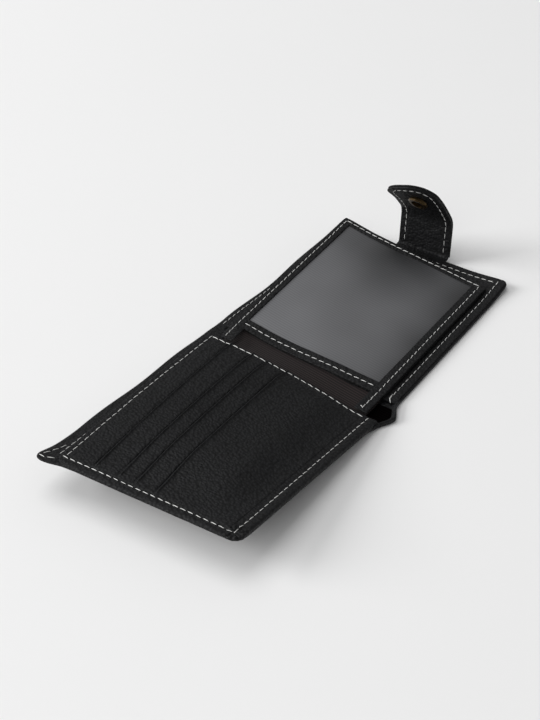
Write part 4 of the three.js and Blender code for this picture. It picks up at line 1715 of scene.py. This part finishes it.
@dataclass
class SnapStrap:
    """The strap at the far edge: two sewn layers that fold up from the cover and bend in at the crease."""

    fit: Fitter
    half_width: float = 13.5
    tip_half_width: float = 10.8
    tip_radius: float = 11.5
    tip_length: float = 31.0
    lean: float = 3.0
    bend: float = 37.0
    curl: float = 14.0
    curl_from: float = 10.0
    tip_skew: float = 3.8
    twist: float = 3.2
    fold_half: float = 1.6
    crease_half: float = 3.5
    row_inset: float = 3.0
    split: float = 10.0
    root: float = -8.0
    root_half: float = 0.17
    inner_faces: tuple[float, float] = (0.15, 1.08)
    outer_faces: tuple[float, float] = (2.05, 1.12)
    outer_start: float = 0.7
    row_start: float = 1.8
    base_bend: tuple[float, float] = (0.4, 3.5)
    bend_half: float = 4.0
    curl_steps: int = 60
    wrinkle: float = 0.4
    wrinkle_reach: float = 7.0
    tip_turns: tuple[float, ...] = (0, 22.5, 45, 67.5, 90)

    def __post_init__(self) -> None:
        """Take the fold and the crease from the joints."""
        x, self.middle, z = joint_place("tab_base")
        self.base = np.array([x, z])
        tip_x, _, tip_z = joint_place("tab_crease")
        self.crease = np.array([tip_x, tip_z])
        self.crease_at = float(np.hypot(*(self.crease - self.base)))

    def path(self, s: Array) -> tuple[Array, Array]:
        """The strap's inner line and its direction.

        Args:
            s: Distance along the strap from its fold.

        Returns:
            Places and unit directions, in x and z.
        """
        lower, upper = math.radians(90 - self.lean), math.radians(90 - self.lean + self.bend)
        legs = [np.array([math.cos(angle), math.sin(angle)]) for angle in (0.0, lower, upper)]
        s = np.asarray(s, float)
        place = np.where(s[:, None] < 0, self.base + s[:, None] * legs[0], self.base + s[:, None] * legs[1])
        past = (s - self.crease_at)[:, None]
        place = np.where(past > 0, self.crease + past * legs[2], place)
        for at, corner, half, first, second in (
            (0.0, self.base, self.fold_half, legs[0], legs[1]),
            (self.crease_at, self.crease, self.crease_half, legs[1], legs[2]),
        ):
            share = np.clip((s - at + half) / (2 * half), 0, 1)[:, None]
            before, after = corner - half * first, corner + half * second
            curve = (1 - share) ** 2 * before + 2 * share * (1 - share) * corner + share**2 * after
            place = np.where(np.abs(s - at)[:, None] < half, curve, place)
        turn = ease((s + self.fold_half) / (2 * self.fold_half)) * lower
        bent = ease((s - self.crease_at + self.crease_half) / (2 * self.crease_half))
        turn = turn + bent * (upper - lower)
        end = self.crease_at + self.tip_length
        marks = np.linspace(self.crease_at + self.curl_from, end, self.curl_steps)
        extra = np.radians(self.curl) * np.linspace(0, 1, len(marks))
        steps = np.stack([np.cos(upper + extra), np.sin(upper + extra)], axis=-1) - legs[2]
        sums = np.cumsum(steps, axis=0) * (marks[1] - marks[0])
        place = place + np.stack([np.interp(s, marks, sums[:, axis]) for axis in (0, 1)], axis=-1)
        turn = turn + np.interp(s, marks, extra)
        return place, np.stack([np.cos(turn), np.sin(turn)], axis=-1)

    def lay(self, s: Array, across: Array, out: Array) -> Array:
        """Lay places of the strap, out from its inner line."""
        place, along = self.path(s)
        narrow = np.clip((s - self.crease_at) / self.tip_length, 0, 1)
        width = 1 + (self.tip_half_width / self.half_width - 1) * narrow
        out = out - self.twist * narrow * across / self.half_width
        x = place[:, 0] + along[:, 1] * out
        z = place[:, 1] - along[:, 0] * out
        return np.stack([x, self.middle + across * width + self.tip_skew * narrow**2, z], axis=-1)

    def inner_face(self, s: Array, y: Array) -> Array:
        """The face towards the wallet, creased where the strap bends."""
        crease = ridge(s - self.crease_at, self.wrinkle_reach)
        folds = self.wrinkle * ripple(s, y * 0.35, scale=2.2, seed=3.0) * (0.3 + crease)
        sides = np.clip((np.abs(y) - self.half_width + self.row_inset + 1.5) / 1.5, 0, 1)
        up = ease((s + 1.5) / 3)
        return self.inner_faces[0] * up - self.root_half * (1 - up) + folds * (1 - sides)

    def inner_back(self, s: Array, y: Array) -> Array:
        """The inner layer's other face."""
        up = ease((s + 1.0) / 3)
        return self.inner_faces[1] * up + self.root_half * (1 - up)

    def outer_back(self, s: Array, y: Array) -> Array:
        """The outer layer's outer face."""
        return self.outer_faces[0] + 0.1 * ripple(s, y, scale=6.0, seed=5.0)

    def build(self) -> None:
        """Model the strap's layers and seams."""
        end = self.crease_at + self.tip_length
        sides = (-self.half_width, self.half_width)
        inner = self.inner_back, self.inner_face
        outer = self.outer_back, plane(self.outer_faces[1])
        before, past = self.base, self.base + self.base_bend
        base = ((before[0], 0, before[1]), (past[0], 0, past[1]))
        ends = np.array([self.crease_at - self.bend_half, self.crease_at + self.bend_half])
        start, after = self.path(ends)[0]
        crease = ((start[0], 0, start[1]), (after[0], 0, after[1]))
        fold, tip = (("rear_half", "tab_lower"), base), (("tab_lower", "tab_tip"), crease)
        for name, along, faces, joint, nodes in (
            ("strap_fold_inner", (self.root, self.split), inner, fold, ("tab_root", "tab_lower_inner")),
            ("strap_fold_outer", (self.outer_start, self.split), outer, fold, ("tab_lower_outer",)),
            ("strap_tip_inner", (self.split, end), inner, tip, ("tab_tip_inner",)),
            ("strap_tip_outer", (self.split, end), outer, tip, ("tab_tip_outer",)),
        ):
            corner, joined = (self.tip_radius, "near") if joint is tip else (0.0, "far")
            layer = Layer(
                name, along, sides, *faces, self.lay, step=0.8, rim=0.4, corner=corner, square=(joined,)
            ).make()
            self.fit.bend(layer, Slot.LEATHER, *joint, *nodes)

        side = self.half_width - self.row_inset
        low_rows, tip_rows = [], []
        for surface, face in ((self.inner_face, Face.OUTSIDE), (self.outer_back, Face.INSIDE)):
            for y in (side, -side):
                low_rows.append(StitchRow([(self.row_start, y), (self.split, y)], surface, self.lay, face))
            tip_rows.append(StitchRow(self.tip_path(side, end), surface, self.lay, face))
        for name, rows, joint, node in (
            ("strap_fold_stitches", low_rows, fold, "tab_lower_thread"),
            ("strap_tip_stitches", tip_rows, tip, "tab_tip_thread"),
        ):
            self.fit.bend(self.fit.needle.sew(name, rows), Slot.THREAD, *joint, node)

    def tip_path(self, side: float, end: float) -> list[tuple[float, float]]:
        """The seam round the strap's tip, from side to side."""
        radius, far = self.tip_radius - self.row_inset, end - self.row_inset
        turns = [math.radians(angle) for angle in self.tip_turns]
        first = [(far - radius + radius * math.sin(a), side - radius + radius * math.cos(a)) for a in turns]
        second = [(u, -y) for u, y in reversed(first)]
        return [(self.split, side), *first, *second, (self.split, -side)]


# Studio


@dataclass
class Studio:
    """Camera, light and table."""

    target: Triple = (-53.8, 15.8, 0.0)
    azimuth: float = -56.54
    elevation: float = 38.58
    distance: float = 732.5
    focal_pixels: float = 1668.0
    frame_height: float = 720.0
    sensor: float = 36.0
    near_clip: float = 0.01
    surround: float = 0.28
    aim: Triple = (-0.05, 0.0, 0.0)
    lamps: tuple[tuple[str, Triple, float, float], ...] = (
        ("overhead_softbox", (-0.1, 1.3, 3.4), 2.6, 52.0),
        ("left_softbox", (-1.9, 2.8, 1.6), 1.8, 118.0),
        ("front_fill", (-2.4, -0.6, 1.5), 1.5, 8.0),
    )
    table_size: float = 6.0
    table_level: float = -0.0001

    def camera(self) -> None:
        """Set the camera at the photograph's viewing angle."""
        turn, up = math.radians(self.azimuth), math.radians(self.elevation)
        back = Vector((math.sin(turn) * math.cos(up), -math.cos(turn) * math.cos(up), math.sin(up)))
        data = bpy.data.cameras.new("photo_camera")
        data.sensor_width = self.sensor
        data.lens = self.focal_pixels / self.frame_height * self.sensor
        data.clip_start = self.near_clip
        camera = bpy.data.objects.new("photo_camera", data)
        bpy.context.scene.collection.objects.link(camera)
        camera.location = (Vector(self.target) + back * self.distance) * MM
        camera.rotation_euler = back.to_track_quat("Z", "Y").to_euler()
        bpy.context.scene.camera = camera

    def lamp(self, name: str, place: Triple, size: float, watts: float) -> None:
        """Hang a square soft light that faces the wallet."""
        data = bpy.data.lights.new(name, "AREA")
        data.shape = "SQUARE"
        data.size = size
        data.energy = watts
        lamp = bpy.data.objects.new(name, data)
        bpy.context.scene.collection.objects.link(lamp)
        lamp.location = place
        aim = Vector(place) - Vector(self.aim)
        lamp.rotation_euler = aim.to_track_quat("Z", "Y").to_euler()

    def light(self) -> None:
        """Soft light from above and behind, over a pale surround."""
        world = bpy.data.worlds.new("pale_surround")
        world.use_nodes = True
        backdrop = world.node_tree.nodes["Background"]
        backdrop.inputs["Color"].default_value = (1.0, 1.0, 1.0, 1.0)
        backdrop.inputs["Strength"].default_value = self.surround
        bpy.context.scene.world = world
        for name, place, size, watts in self.lamps:
            self.lamp(name, place, size, watts)
        bpy.context.scene.view_settings.view_transform = "Standard"

    def table(self) -> None:
        """Lay the pale table under the wallet."""
        Bench.clear()
        bpy.ops.mesh.primitive_plane_add(size=self.table_size, location=(0, 0, self.table_level))
        floor = bpy.context.object
        floor.name = "pale_table"
        bpy.ops.object.transform_apply(location=True)
        floor.data.materials.append(PaleFloor().make())


def main() -> None:
    """Build the studio and the wallet's sub-assemblies in order."""
    logging.basicConfig(level=logging.INFO, format="%(name)s: %(message)s")
    studio = Studio()
    studio.camera()
    studio.light()
    studio.table()
    wardrobe = Wardrobe()
    wardrobe.dress_nodes()
    fit = Fitter(wardrobe, Needle())
    lie = OpenLie()
    flap = WindowFlap(fit)
    card = FrontHalf(lie, fit)
    for part in (RearHalf(lie, fit), card, flap, Gutter(lie, flap, card, fit), SnapStrap(fit)):
        part.build()
        LOG.info("%s done", type(part).__name__)
    fit.needle.put_away()


if __name__ == "__main__":
    main()
